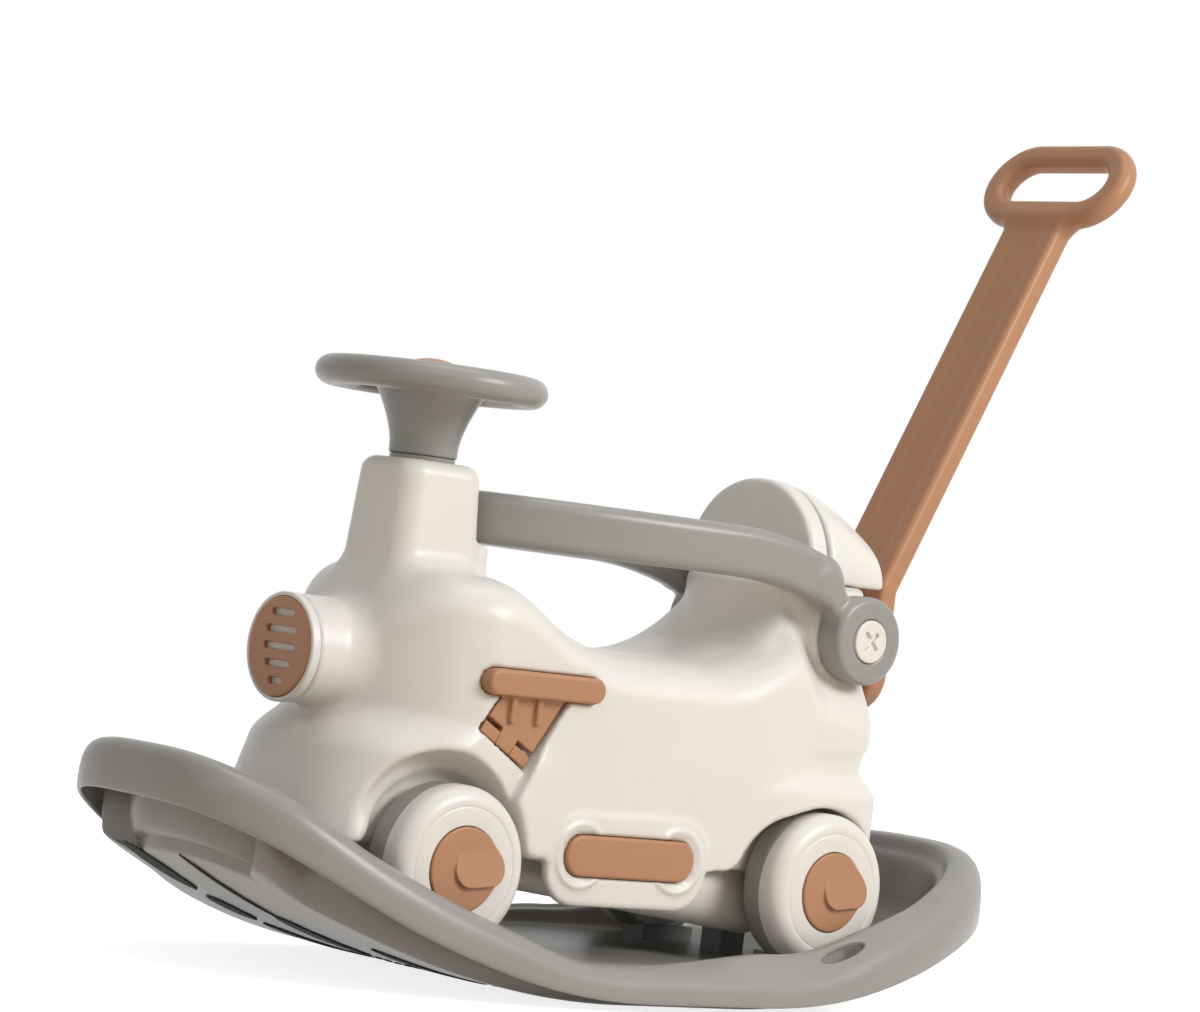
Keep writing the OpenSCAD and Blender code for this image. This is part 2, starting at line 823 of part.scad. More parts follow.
module underbody() {
    color(cream) difference() {
        union() {
            translate([(chassis_front + chassis_rear) / 2, 0, plate_z0]) linear_extrude(chassis_t)
                round_rect(chassis_front - chassis_rear, 2 * chassis_half, chassis_r);
            from_front(-tub_l / 2, tub_l / 2) translate([0, (tub_z0 + plate_z0 + tub_lap) / 2])
                round_rect(2 * tub_half, plate_z0 + tub_lap - tub_z0, tub_r);
        }
        from_front(-tub_l / 2 + tub_wall, tub_l / 2 - tub_wall)
            translate([0, (tub_z0 + plate_z0) / 2])
                round_rect(2 * (tub_half - tub_wall), plate_z0 - tub_z0 - 2 * tub_wall, tub_r - tub_wall);
        screw_places() translate([0, 0, -cut]) cylinder(r = screw_r + seat_gap, h = chassis_t + 2 * cut);
    }
}

bracket_l = 30;
bracket_t = 18;
bracket_wall = 6;
bracket_edge = 4;
bracket_y = [waist_half - wall - bracket_edge - bracket_t, waist_half - wall - bracket_edge];

module axle_brackets() {
    color(grey) at_axles() both_sides() difference() {
        translate([-bracket_l / 2, bracket_y[0], -axle_r - bracket_wall])
            cube([bracket_l, bracket_t, plate_z0 - axle_z + axle_r + bracket_wall]);
        rod_y(axle_r + run_fit, bracket_y[0] - cut, bracket_y[1] + cut);
    }
}

nut_t = 2.4;
nut_wall = 3;
nut_proud = 0.8;
hub_tube_h = 33;
axle_end = wheel_in + hub_tube_h + seat_gap + nut_t + nut_proud;

module axle() {
    rod_y(axle_r, -axle_end, axle_end);
}

module front_axle() {
    color(steel) translate([half_base, 0, axle_z]) axle();
}

module rear_axle() {
    color(steel) translate([-half_base, 0, axle_z]) axle();
}

spacer_wall = 4;
spacer_r = axle_r + spacer_wall;

module axle_spacers() {
    color(steel) at_axles() both_sides()
        tube_y(spacer_r, axle_r + run_fit, bracket_y[1] + seat_gap, wheel_in - seat_gap);
}

module axle_nuts() {
    color(steel) at_axles() both_sides()
        tube_y(axle_r + nut_wall, axle_r + run_fit, wheel_in + hub_tube_h + seat_gap,
            wheel_in + hub_tube_h + seat_gap + nut_t);
}

screw_head_r = 5;
screw_head_t = 2.5;
screw_short = 2;

module chassis_screws() {
    color(steel) screw_places() {
        translate([0, 0, -screw_head_t]) cylinder(r = screw_head_r, h = screw_head_t);
        cylinder(r = screw_r, h = chassis_t + post_bore - screw_short);
    }
}

// Headlamp

module lamp_place() {
    translate([0, 0, lamp_z]) children();
}

grille_t = 4.5;
bezel_floor = 1.5;
bezel_wall = 3.5;
grille_proud = 1;

module headlamp_bezel() {
    color(cream) lamp_place() difference() {
        rod_x(grille_d / 2 + bezel_wall, bezel_x, lamp_x - grille_proud);
        rod_x(grille_d / 2 + seat_gap, bezel_x + bezel_floor, lamp_x + cut);
    }
}

module headlamp_backing() {
    color(cream) lamp_place()
        rod_x(grille_d / 2, bezel_x + bezel_floor + seat_gap / 3, lamp_x - grille_t - seat_gap / 3);
}

function whole_tenths(v) = round(10 * v) / 10;
slot_pitch = whole_tenths(grille_d / (grille_slots + 0.9));
slot_h = 2 * whole_tenths(slot_pitch * 0.21);
slot_share = 0.52;

// Length of a slot, a share of the round grille's width at its height
function grille_slot_l(i) =
    2 * whole_tenths(slot_share * sqrt(pow(grille_d / 2, 2) - pow(slot_pitch * i, 2)));

module headlamp_grille() {
    color(brown) lamp_place() difference() {
        rod_x(grille_d / 2, lamp_x - grille_t, lamp_x);
        for (i = [-(grille_slots - 1) / 2:(grille_slots - 1) / 2])
            from_front(lamp_x - grille_t - cut, lamp_x + cut) translate([0, slot_pitch * i])
                stadium(grille_slot_l(i), slot_h);
    }
}

// Steering

bushing_flange = 3;
bushing_l = 24;
shaft_up = 24;
shaft_down = 74;
shaft_low = column_z - shaft_down;
shaft_top = column_z + shaft_up;
clip_t = 3;
clip_wall = 5;
stem_drop = 6;
stem_foot = 6;
stem_top = steer_z - stem_drop;
flange_in = 1;
hub_r = 43;
spoke_w = 26;
spoke_t = 9;

module on_column() {
    translate([column_x, 0, 0]) children();
}

module steering_bushing() {
    color(grey) on_column() difference() {
        union() {
            translate([0, 0, column_z + seat_gap / 3])
                cylinder(r = stem_d / 2 - flange_in, h = bushing_flange);
            translate([0, 0, column_z - bushing_l])
                cylinder(r = shaft_hole_r - seat_gap, h = bushing_l + seat_gap);
        }
        translate([0, 0, column_z - bushing_l - cut])
            cylinder(r = shaft_d / 2 + run_fit, h = bushing_l + bushing_flange + 3 * cut);
    }
}

module steering_shaft() {
    color(steel) on_column() translate([0, 0, shaft_low])
        cylinder(r = shaft_d / 2, h = shaft_top - shaft_low);
}

module shaft_clip() {
    color(steel) on_column() translate([0, 0, column_z - bushing_l - move_gap - clip_t]) difference() {
        cylinder(r = shaft_d / 2 + clip_wall, h = clip_t);
        translate([0, 0, -cut]) cylinder(r = shaft_d / 2 + run_fit, h = clip_t + 2 * cut);
    }
}

stem_z0 = column_z + bushing_flange + move_gap;

module steering_stem() {
    color(grey) on_column() difference() {
        rotate_extrude() polygon(concat(
            [[0, stem_z0], [stem_d / 2, stem_z0]],
            [for (i = [0:8]) let (t = i / 8)
                [lerp(stem_d / 2, hub_r, pow(t, 1.6)), lerp(stem_z0 + stem_foot, stem_top, t)]],
            [[0, stem_top]]));
        translate([0, 0, stem_z0 - cut])
            cylinder(r = shaft_d / 2 + run_fit, h = shaft_top - stem_z0 + cut + seat_gap);
    }
}

rim_r = steer_d / 2 - rim_t / 2;
hub_in = 1;
spoke_lap = 4;
hub_top = steer_z + rim_t / 2 - hub_in;
horn_r = horn_d / 2;
horn_sink = 8;
horn_seat = hub_top - horn_sink;
horn_wall_h = 4;
horn_dome_h = 6;

module steering_wheel() {
    color(grey) on_column() difference() {
        union() {
            translate([0, 0, steer_z]) rotate_extrude() translate([rim_r, 0]) circle(d = rim_t);
            translate([0, 0, stem_top + seat_gap / 3]) cylinder(r = hub_r, h = hub_top - stem_top);
            for (a = [60, 180, 300]) rotate([0, 0, a])
                translate([hub_r - spoke_lap, -spoke_w / 2, stem_top + seat_gap / 3])
                    cube([rim_r - hub_r + spoke_lap, spoke_w, spoke_t]);
        }
        translate([0, 0, horn_seat]) cylinder(r = horn_r + move_gap, h = horn_sink + cut);
    }
}

module horn_button() {
    color(brown) on_column() translate([0, 0, horn_seat + horn_travel + move_gap]) rotate_extrude()
        polygon(concat([[0, 0], [horn_r, 0]],
            [for (i = [0:8]) [horn_r * cos(11.25 * i), horn_wall_h + horn_dome_h * sin(11.25 * i)]]));
}

spring_r = [12, 14];

module horn_spring() {
    color(steel) on_column() translate([0, 0, horn_seat + seat_gap / 3]) difference() {
        cylinder(r = spring_r[1], h = horn_travel + move_gap - seat_gap / 1.5);
        translate([0, 0, -cut]) cylinder(r = spring_r[0], h = horn_travel + 3 * cut);
    }
}

// Backrest

pad_x1 = rest_x - pad_l;
groove_l = 3;
shell_x0 = pad_x1 - groove_l;
rest_half = rest_w / 2;
rest_base = deck_z + seat_gap;

// Arch outline of the backrest, with its half width and its height over the deck
function arch(half, top) = [for (i = [0:20]) let (a = 9 * i)
    [half * cos(a), rest_base + (top - rest_base) * pow(sin(a), 0.95)]];

module rest_loft(rows) {
    loft([for (r = rows) [for (p = arch(r[1], r[2])) [r[0], p[0], p[1]]]]);
}

bolt_x = [pad_x1 + pad_l / 2, shell_x0 - shell_l * 0.3];
bolt_r = 3;
bolt_grip = 16;
bolt_head_t = 4;

module bolt_places() {
    for (x = bolt_x, sy = [-1, 1]) translate([x, sy * rest_half / 2, deck_z]) children();
}

module bolt_holes() {
    bolt_places() translate([0, 0, -cut]) cylinder(r = bolt_r + run_fit, h = bolt_grip + 2 * cut);
}

pad_round = 6;

module backrest_pad() {
    color(cream) difference() {
        rest_loft(concat(
            [for (i = [0:5]) let (d = pad_round * (1 - sin(18 * i)))
                [rest_x - pad_round * (1 - cos(18 * i)), rest_half - d, rest_z - d]],
            [for (i = [1:4]) [lerp(rest_x - pad_round, pad_x1, i / 4), rest_half, rest_z]]));
        bolt_holes();
    }
}

shell_x1 = shell_x0 - shell_l;
shell_end_z = lerp(rest_z, deck_z, 0.52);
shell_end_drop = 60;

module backrest_shell() {
    color(cream) difference() {
        rest_loft([for (i = [0:10]) let (t = i / 10, round_in = rise(max(0, t - 0.7), 0.3))
            [lerp(shell_x0, shell_x1, t),
             (rest_half - 1) * (1 - 0.2 * t * t) * (1 - 0.7 * round_in),
             lerp(rest_z - 1, shell_end_z, pow(t, 1.5)) - shell_end_drop * round_in]]);
        bolt_holes();
    }
}

module backrest_bolts() {
    color(steel) bolt_places() {
        translate([0, 0, -wall - seat_gap - bolt_head_t]) cylinder(r = 2 * bolt_r, h = bolt_head_t);
        translate([0, 0, -wall - seat_gap - cut]) cylinder(r = bolt_r, h = bolt_grip + wall);
    }
}

// Guard rail

hub_y0 = deck_half + boss_t + seat_gap;
hub_y1 = hub_y0 + hub_t;
rail_y = hub_y0 + rail_t / 2;
rail_gap = 2.5;
rail_back = 16;
rail_elbow = 50;
elbow_in = 1;
rail_front = column_x - column_l / 2 - rail_gap - move_gap - rail_t / 2;
rail_rear = deck_x - rail_back;
rail_end = hub_x + rail_elbow;
// Where the rail starts to bend down to the hubs, and the bend's radius
rail_bend_x = -70;
rail_bend_r = 330;
function rail_mid(x) = rail_z - rise(rail_bend_x - x, rail_bend_r);

rail_round = rail_t * 0.46;
rail_section = section(rail_t / 2, -rail_h / 2, rail_h / 2, rail_round, rail_round, rail_round, 3);
// Centre line from the right hub round the front to the left hub
rail_path = concat(
    [[rail_end, -rail_y]],
    [for (i = [0:24]) let (a = 7.5 * i - 90)
        [rail_rear + (rail_front - rail_rear) * cos(a), rail_y * sin(a)]],
    [[rail_end, rail_y]]);

// Section of the rail, set across the oval centre line
function rail_ring(p) = let (
        nx = rail_y * rail_y * max(0, p[0] - rail_rear),
        ny = pow(rail_front - rail_rear, 2) * p[1],
        l = sqrt(nx * nx + ny * ny)
    )
    [for (q = rail_section) [p[0] + q[0] * nx / l, p[1] + q[0] * ny / l, rail_mid(p[0]) + q[1]]];

neck_w = 32;
lock_r = lock_shank_d / 2;
lock_sink = 3;
sleeve_wall = 4;
sleeve_l = 14;

module at_hubs() {
    translate([hub_x, 0, hub_z]) children();
}

module guard_rail() {
    end_z = rail_mid(rail_end);
    color(grey) difference() {
        union() {
            loft([for (p = rail_path) rail_ring(p)]);
            both_sides() {
                translate([rail_end, 0, end_z]) rod_y(rail_h / 2 - elbow_in, hub_y0, hub_y0 + rail_t);
                from_side(hub_y0, hub_y0 + rail_t) translate([hub_x, hub_z])
                    rotate(atan2(end_z - hub_z, rail_end - hub_x)) translate([0, -neck_w / 2])
                        square([norm([end_z - hub_z, rail_end - hub_x]), neck_w]);
                at_hubs() rod_y(hub_d / 2, hub_y0, hub_y1);
            }
        }
        at_hubs() both_sides() {
            rod_y(lock_r + run_fit, hub_y0 - cut, hub_y1 + cut);
            rod_y(lock_d / 2 + move_gap, hub_y1 - lock_sink, hub_y1 + cut);
        }
    }
}

// Sleeve in the body's boss that guides the lock screw
module guard_sleeves() {
    color(grey) at_hubs() both_sides()
        tube_y(lock_r + sleeve_wall, lock_r + run_fit, deck_half - sleeve_l, deck_half + boss_t);
}

lock_slot_w = 3;
lock_slot_l = 0.54 * lock_d;
lock_proud = 1.5;
lock_short = 2;

// Lock screw with a cross slot, turned with a coin
module lock_screw() {
    difference() {
        union() {
            rod_y(lock_d / 2, hub_y1 - lock_sink + seat_gap, hub_y1 + lock_proud);
            rod_y(lock_r, deck_half - sleeve_l + lock_short, hub_y1);
        }
        for (a = [45, 135]) rotate([0, a, 0])
            translate([-lock_slot_l / 2, hub_y1, -lock_slot_w / 2])
                cube([lock_slot_l, 2 * lock_proud, lock_slot_w]);
    }
}

module lock_left() {
    color(cream) at_hubs() lock_screw();
}

module lock_right() {
    color(cream) at_hubs() mirror([0, 1, 0]) lock_screw();
}

// Footrests

knuckle_l = plate_l / 3;
plate_rib = [22, 5];
plate_rib_t = 3;
plate_rib_x = [25, 50.5];
plate_rib_z = 12;
pin_in = 1;

// Puts a shape along the hinge line: z runs from the rear corner to the front one
module along_hinge() {
    translate([plate_rear[0], hinge_y, plate_rear[1]]) rotate([0, 90 - plate_tilt, 0]) children();
}

module footrest() {
    difference() {
        union() {
            from_side(plate_y0, plate_y1) polygon(plate_outline);
            from_side(skirt_half - bar_hold, skirt_half + bar_out) translate([bar_x, bar_z])
                stadium(bar_l, bar_h);
            for (k = [0, 1]) from_side(plate_y1 - cut, plate_y1 + plate_rib_t)
                translate(plate_front + [-plate_rib_x[k], plate_rib_z]) rotate(90)
                    stadium(plate_rib[0], plate_rib[1]);
            along_hinge() translate([0, 0, knuckle_l + move_gap])
                cylinder(r = knuckle_r, h = knuckle_l - 2 * move_gap);
        }
        along_hinge() translate([0, 0, -cut]) cylinder(r = pin_d / 2 + run_fit, h = plate_l + 2 * cut);
        for (k = [0, 2]) along_hinge() translate([0, 0, k * knuckle_l - cut / 2])
            cylinder(r = knuckle_r + move_gap, h = knuckle_l + cut);
    }
}

module footrest_hinge() {
    difference() {
        for (k = [0, 2]) along_hinge() translate([0, 0, k * knuckle_l]) {
            cylinder(r = knuckle_r, h = knuckle_l);
            translate([0, recess_y + seat_gap - hinge_y, 0])
                cube([knuckle_r, hinge_y - recess_y - seat_gap, knuckle_l]);
        }
        along_hinge() translate([0, 0, -cut]) cylinder(r = pin_d / 2 + run_fit, h = plate_l + 2 * cut);
    }
}

module footrest_pin() {
    along_hinge() translate([0, 0, pin_in]) cylinder(r = pin_d / 2, h = plate_l - 2 * pin_in);
}

module footrest_left() { color(brown) footrest(); }
module footrest_right() { color(brown) mirror([0, 1, 0]) footrest(); }
module footrest_hinge_left() { color(brown) footrest_hinge(); }
module footrest_hinge_right() { color(brown) mirror([0, 1, 0]) footrest_hinge(); }
module footrest_pin_left() { color(steel) footrest_pin(); }
module footrest_pin_right() { color(steel) mirror([0, 1, 0]) footrest_pin(); }

// Side trim

trim_proud = 3;

module trim_bar() {
    from_side(pocket_y + seat_gap / 3, tab_y1 + trim_proud) translate([trim_x, trim_z])
        stadium(trim_l, trim_h);
}

module trim_left() { color(brown) trim_bar(); }
module trim_right() { color(brown) mirror([0, 1, 0]) trim_bar(); }

// Push handle

handle_x1 = handle_x + handle_t / 2;
socket_l = back_x - seat_gap - move_gap - handle_x1;
handle_x0 = handle_x1 - handle_t;
key_neck = 14;
key_head = 22;
key_depth = [5.5, 8.5];
key_drop = 12;
key_l = 64;
key_z1 = handle_bend_z - key_drop;
key_z0 = key_z1 - key_l;
socket_side = 4;
socket_foot = 6;

module handle_socket() {
    color(cream) {
        translate([handle_x1 + move_gap, -key_head - socket_side, key_z0 - socket_foot])
            cube([socket_l, 2 * (key_head + socket_side), key_l + socket_foot]);
        translate([handle_x1 - key_depth[0] - cut, -key_neck + move_gap, key_z0])
            cube([key_depth[0] + cut + move_gap + cut, 2 * (key_neck - move_gap), key_l]);
        translate([handle_x1 - key_depth[0] - key_depth[1] + move_gap, -key_head + move_gap, key_z0])
            cube([key_depth[1] - 2 * move_gap, 2 * (key_head - move_gap), key_l]);
    }
}

latch_r = 8;
latch_out = 2.5;
latch_up = 14;
latch_z = handle_z0 + latch_up;
loop_lap = 8;
loop_tilt = 4;

module loop_place() {
    translate([handle_x, 0, handle_bend_z]) rotate([0, -handle_lean, 0])
        translate([0, 0, handle_l + loop_h / 2 - loop_lap]) rotate([0, -loop_tilt, 0]) children();
}

// Bar that stands up in its socket and then leans back, with a round lower end
module handle_bar() {
    bend = [handle_x, handle_bend_z];
    end = bend + handle_l * [-sin(handle_lean), cos(handle_lean)];
    mitre = handle_t / 2 * [1, tan(handle_lean / 2)];
    half = handle_t / 2 * [cos(handle_lean), sin(handle_lean)];
    intersection() {
        from_side(-handle_w, handle_w) polygon([[handle_x0, handle_z0], [handle_x1, handle_z0],
            bend + mitre, end + half, end - half, bend - mitre]);
        from_front(handle_x - handle_l, handle_x + handle_t) {
            translate([0, handle_z0 + handle_w / 2]) circle(d = handle_w);
            translate([-handle_w / 2, handle_z0 + handle_w / 2]) square([handle_w, 2 * handle_l]);
        }
    }
}

module push_handle() {
    color(brown) difference() {
        union() {
            handle_bar();
            loop_place() from_front(-loop_t / 2, loop_t / 2) stadium(loop_w, loop_h);
        }
        loop_place() from_front(-loop_t, loop_t) stadium(loop_hole_w, loop_hole_h);
        translate([handle_x1 - key_depth[0], -key_neck, handle_z0 - cut])
            cube([key_depth[0] + cut, 2 * key_neck, key_z1 + move_gap - handle_z0 + cut]);
        translate([handle_x1 - key_depth[0] - key_depth[1], -key_head, handle_z0 - cut])
            cube([key_depth[1], 2 * key_head, key_z1 + move_gap - handle_z0 + cut]);
        translate([0, 0, latch_z]) rod_x(latch_r + seat_gap, handle_x0 - cut, handle_x0 + handle_t / 2);
    }
}

module handle_latch() {
    color(rubber) translate([0, 0, latch_z])
        rod_x(latch_r, handle_x0 - latch_out, handle_x1 - key_depth[0] - key_depth[1] - seat_gap);
}

// Wheels, drawn with the axle along z and the outer face up

shell_round = 17;
shell_wall = 4;
hub_tube_wall = 4;
hub_tube_r = axle_r + hub_tube_wall;
cap_sink = 3;
cap_proud = 2;
cap_seat = wheel_w - cap_sink;
face_r = hub_cap_d / 2 + 2 * seat_gap;
// Web of the tyre half: its two faces, and how far it stays below the tread
web_h = [3, 6.5];
web_in = 8;

module wheel_tyre() {
    rotate_extrude() polygon([
        [axle_r + run_fit, 0], [hub_tube_r, 0], [hub_tube_r, web_h[0]], [wheel_r - web_in, web_h[0]],
        [wheel_r - 4, 0], [wheel_r - 1.5, 1], [wheel_r, 5], [wheel_r, tyre_w], [wheel_r - shell_wall, tyre_w],
        [wheel_r - shell_wall, 8], [wheel_r - web_in, web_h[1]], [hub_tube_r, web_h[1]], [hub_tube_r, tyre_w],
        [axle_r + run_fit, tyre_w]]);
}

module wheel_shell() {
    inner_r = shell_round - shell_wall;
    rotate_extrude() polygon(concat(
        [[axle_r + run_fit, tyre_w], [hub_tube_r, tyre_w], [hub_tube_r, cap_seat - shell_wall],
         [face_r + 2, cap_seat - shell_wall]],
        [for (i = [0:6]) let (a = 90 - 15 * i)
            [wheel_r - shell_round + inner_r * cos(a), wheel_w - shell_round + inner_r * sin(a)]],
        [[wheel_r - shell_wall, tyre_w], [wheel_r, tyre_w]],
        [for (i = [0:6]) let (a = 15 * i)
            [wheel_r - shell_round + shell_round * cos(a), wheel_w - shell_round + shell_round * sin(a)]],
        [[face_r, wheel_w], [face_r, cap_seat], [hub_tube_r + 4, cap_seat],
         [hub_tube_r + 4, hub_tube_h], [axle_r + run_fit, hub_tube_h]]));
}

crank_reach = 5;
crank_t = 5.5;
crank_out = hub_cap_d / 2 + crank_reach;

module hub_cap() {
    translate([0, 0, cap_seat + seat_gap / 3])
        cylinder(r = hub_cap_d / 2, h = cap_sink + cap_proud);
    translate([-crank_out / 2 + crank_w / 6, 0, wheel_w + seat_gap])
        linear_extrude(crank_t) stadium(crank_out + crank_w / 3, crank_w);
}

// Puts a wheel piece on its axle: sx is 1 at the front, sy is 1 on the left
module wheel_at(sx, sy) {
    on_train() translate([sx * half_base, sy * wheel_in, axle_z])
        mirror([0, sy < 0 ? 1 : 0, 0]) rotate([-90, 0, 0]) children();
}

module wheel_shell_at(sx, sy) { color(cream) wheel_at(sx, sy) wheel_shell(); }
module wheel_tyre_at(sx, sy) { color(grey) wheel_at(sx, sy) wheel_tyre(); }
module hub_cap_at(sx, sy) { color(brown) wheel_at(sx, sy) hub_cap(); }

rocker_tray();
grip_strips();
wheel_chocks();
axle_cradles();
on_train() body_shell();
on_train() underbody();
on_train() axle_brackets();
on_train() front_axle();
on_train() rear_axle();
on_train() axle_spacers();
on_train() axle_nuts();
on_train() chassis_screws();
on_train() headlamp_bezel();
on_train() headlamp_backing();
on_train() headlamp_grille();
on_train() steering_bushing();
on_train() backrest_pad();
on_train() backrest_shell();
on_train() backrest_bolts();
on_train() guard_sleeves();
on_train() guard_rail();
on_train() handle_socket();
on_train() trim_left();
on_train() trim_right();
on_train() footrest_hinge_left();
on_train() footrest_hinge_right();
on_train() footrest_pin_left();
on_train() footrest_pin_right();
on_train() lock_left();
on_train() lock_right();
on_train() footrest_left();
on_train() footrest_right();
on_train() push_handle();
on_train() handle_latch();
on_train() steering_wheel();
on_train() steering_stem();
on_train() steering_shaft();
on_train() shaft_clip();
on_train() horn_spring();
on_train() horn_button();
wheel_shell_at(1, 1);  // wheel_shell_fl
wheel_tyre_at(1, 1);  // wheel_tyre_fl
hub_cap_at(1, 1);  // hub_cap_fl
wheel_shell_at(1, -1);  // wheel_shell_fr
wheel_tyre_at(1, -1);  // wheel_tyre_fr
hub_cap_at(1, -1);  // hub_cap_fr
wheel_shell_at(-1, 1);  // wheel_shell_rl
wheel_tyre_at(-1, 1);  // wheel_tyre_rl
hub_cap_at(-1, 1);  // hub_cap_rl
wheel_shell_at(-1, -1);  // wheel_shell_rr
wheel_tyre_at(-1, -1);  // wheel_tyre_rr
hub_cap_at(-1, -1);  // hub_cap_rr
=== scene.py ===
# %% [markdown]
# # A ride-on train in its rocking tray
# The CAD model gives every piece its size and place. This lesson gives the pieces the soft edges, blends
# and finishes of moulded plastic, and leaves the hidden metal pieces as the CAD made them, with better
# materials.

# %% Load the frame
import functools
import itertools
import json
import math

import bpy
import numpy as np
from mathutils import Matrix, Vector


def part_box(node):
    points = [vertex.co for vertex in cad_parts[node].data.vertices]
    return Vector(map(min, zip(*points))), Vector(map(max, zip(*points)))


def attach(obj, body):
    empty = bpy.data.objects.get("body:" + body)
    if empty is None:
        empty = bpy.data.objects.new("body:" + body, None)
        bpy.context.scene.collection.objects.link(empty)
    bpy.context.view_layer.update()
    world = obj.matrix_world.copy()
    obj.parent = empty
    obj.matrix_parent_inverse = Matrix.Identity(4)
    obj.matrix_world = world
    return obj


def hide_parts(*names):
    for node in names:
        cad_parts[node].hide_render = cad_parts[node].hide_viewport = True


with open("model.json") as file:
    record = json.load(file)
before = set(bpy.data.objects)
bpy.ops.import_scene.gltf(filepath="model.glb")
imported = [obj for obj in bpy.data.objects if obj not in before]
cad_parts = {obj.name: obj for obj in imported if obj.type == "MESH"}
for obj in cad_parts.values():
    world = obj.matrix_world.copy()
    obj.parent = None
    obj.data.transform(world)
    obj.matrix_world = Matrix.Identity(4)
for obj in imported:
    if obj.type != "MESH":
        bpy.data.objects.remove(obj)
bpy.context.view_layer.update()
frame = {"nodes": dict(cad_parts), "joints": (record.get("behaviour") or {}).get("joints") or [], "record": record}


def link(name, data):
    """A new object in the scene."""
    thing = bpy.data.objects.new(name, data)
    bpy.context.scene.collection.objects.link(thing)
    return thing


# %% [markdown]
# The shapes are easiest to read in millimetres, measured from the middle of the wheelbase at the level
# where the wheels stand. The wheel joints and one wheel's box say where that point lies in the frame.

# %% The train's own origin
MM = 0.001
joints = {joint["name"]: joint for joint in frame["joints"]}
front_axle = Vector(joints["wheel_fl_spin"]["pos_m"])
rear_axle = Vector(joints["wheel_rl_spin"]["pos_m"])
wheel_low, wheel_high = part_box("wheel_shell_fl")
wheel_r = (wheel_high.z - wheel_low.z) / 2 / MM
half_base = (front_axle.x - rear_axle.x) / 2 / MM
train_origin = np.array([(front_axle.x + rear_axle.x) / 2, 0, front_axle.z - wheel_r * MM])
print("train origin:", train_origin, "wheel radius:", wheel_r, "half wheelbase:", half_base)

# %% [markdown]
# ## Camera
# The photograph was taken with a long lens, close to the ground and rolled a little, from the front left.
# Turn, rise and roll make the camera's axes, and its place is a point in the frame.

# %% Camera
view_turn = math.radians(41.07)
view_rise = math.radians(1.28)
view_roll = math.radians(7.11)
view_place = Vector((2.1193, 2.4050, 0.3098))
view_lens = 120

forward = Vector((-math.sin(view_turn) * math.cos(view_rise),
                  -math.cos(view_turn) * math.cos(view_rise),
                  math.sin(view_rise)))
level_right = forward.cross(Vector((0, 0, 1))).normalized()
level_up = level_right.cross(forward)
right = math.cos(view_roll) * level_right + math.sin(view_roll) * level_up
up = right.cross(forward)

camera_data = bpy.data.cameras.new("camera")
camera_data.lens = view_lens
camera_data.sensor_fit = "HORIZONTAL"
camera_data.sensor_width = 36
camera_data.clip_end = 50
camera = link("camera", camera_data)
camera.matrix_world = Matrix((right, up, -forward)).transposed().to_4x4()
camera.location = view_place
bpy.context.scene.camera = camera
bpy.context.scene.view_settings.view_transform = "Standard"
print("camera looks along", tuple(round(v, 3) for v in forward))

# %% [markdown]
# ## Finishes
# Nearly everything is moulded polypropylene: a satin surface with a fine spark-eroded grain, and a colour
# that drifts slightly because the pigment doesn't mix perfectly. One function makes the three
# colours. Steel gets drawn lines along its length, and rubber a coarser, dull grain.


# %% Helpers for node trees
def feed(tree, node, **given):
    """Links a node's inputs to sockets, or sets them to values; i0, i1 stand for inputs by number."""
    for label, value in given.items():
        numbered = label[0] == "i" and label[1:].isdigit()
        socket = node.inputs[int(label[1:]) if numbered else label]
        if isinstance(value, bpy.types.NodeSocket):
            tree.links.new(value, socket)
        else:
            socket.default_value = value


def put(tree, kind, settings=None, **given):
    """The first output of a new node with its settings and inputs."""
    node = tree.nodes.new(kind)
    for key, value in (settings or {}).items():
        setattr(node, key, value)
    feed(tree, node, **given)
    return node.outputs[0]


def calc(tree, operation, a, b=0.0):
    return put(tree, "ShaderNodeMath", {"operation": operation}, i0=a, i1=b)


# %% Material helpers
def new_material(name, colour, roughness):
    """A principled material, with its tree, its shader and the place on the object."""
    material = bpy.data.materials.new(name)
    material.use_nodes = True
    tree = material.node_tree
    shader = tree.nodes["Principled BSDF"]
    feed(tree, shader, **{"Base Color": (*colour, 1), "Roughness": roughness})
    return material, tree, shader, tree.nodes.new("ShaderNodeTexCoord").outputs["Object"]


def noise(tree, place, scale, detail):
    return put(tree, "ShaderNodeTexNoise", Vector=place, Scale=scale, Detail=detail)


def spread(tree, value, low, high):
    """Maps a noise value to a range, used for roughness."""
    return put(tree, "ShaderNodeMapRange", **{
        "Value": value, "From Min": 0.3, "From Max": 0.7, "To Min": low, "To Max": high})


def drift(tree, value, colour, amount):
    """A colour that drifts a little lighter and darker."""
    ramp = tree.nodes.new("ShaderNodeValToRGB")
    for element, place, gain in zip(ramp.color_ramp.elements, (0.3, 0.7), (1 - amount, 1 + amount)):
        element.position = place
        element.color = (*[min(1, c * gain) for c in colour], 1)
    feed(tree, ramp, Fac=value)
    return ramp.outputs["Color"]


def bump(tree, height, strength, depth):
    return put(tree, "ShaderNodeBump", Strength=strength, Distance=depth, Height=height)


# %% Moulded plastic, steel and rubber
def moulded_plastic(name, colour, roughness):
    material, tree, shader, place = new_material(name, colour, roughness)
    pigment, grain = noise(tree, place, 14, 4), noise(tree, place, 1400, 2)
    feed(tree, shader, **{
        "Base Color": drift(tree, pigment, colour, 0.025),
        "Roughness": spread(tree, grain, roughness - 0.05, roughness + 0.06),
        "Normal": bump(tree, grain, 0.12, 0.0002), "Specular IOR Level": 0.42,
        "Subsurface Weight": 0.04, "Subsurface Radius": (0.006, 0.004, 0.003)})
    return material


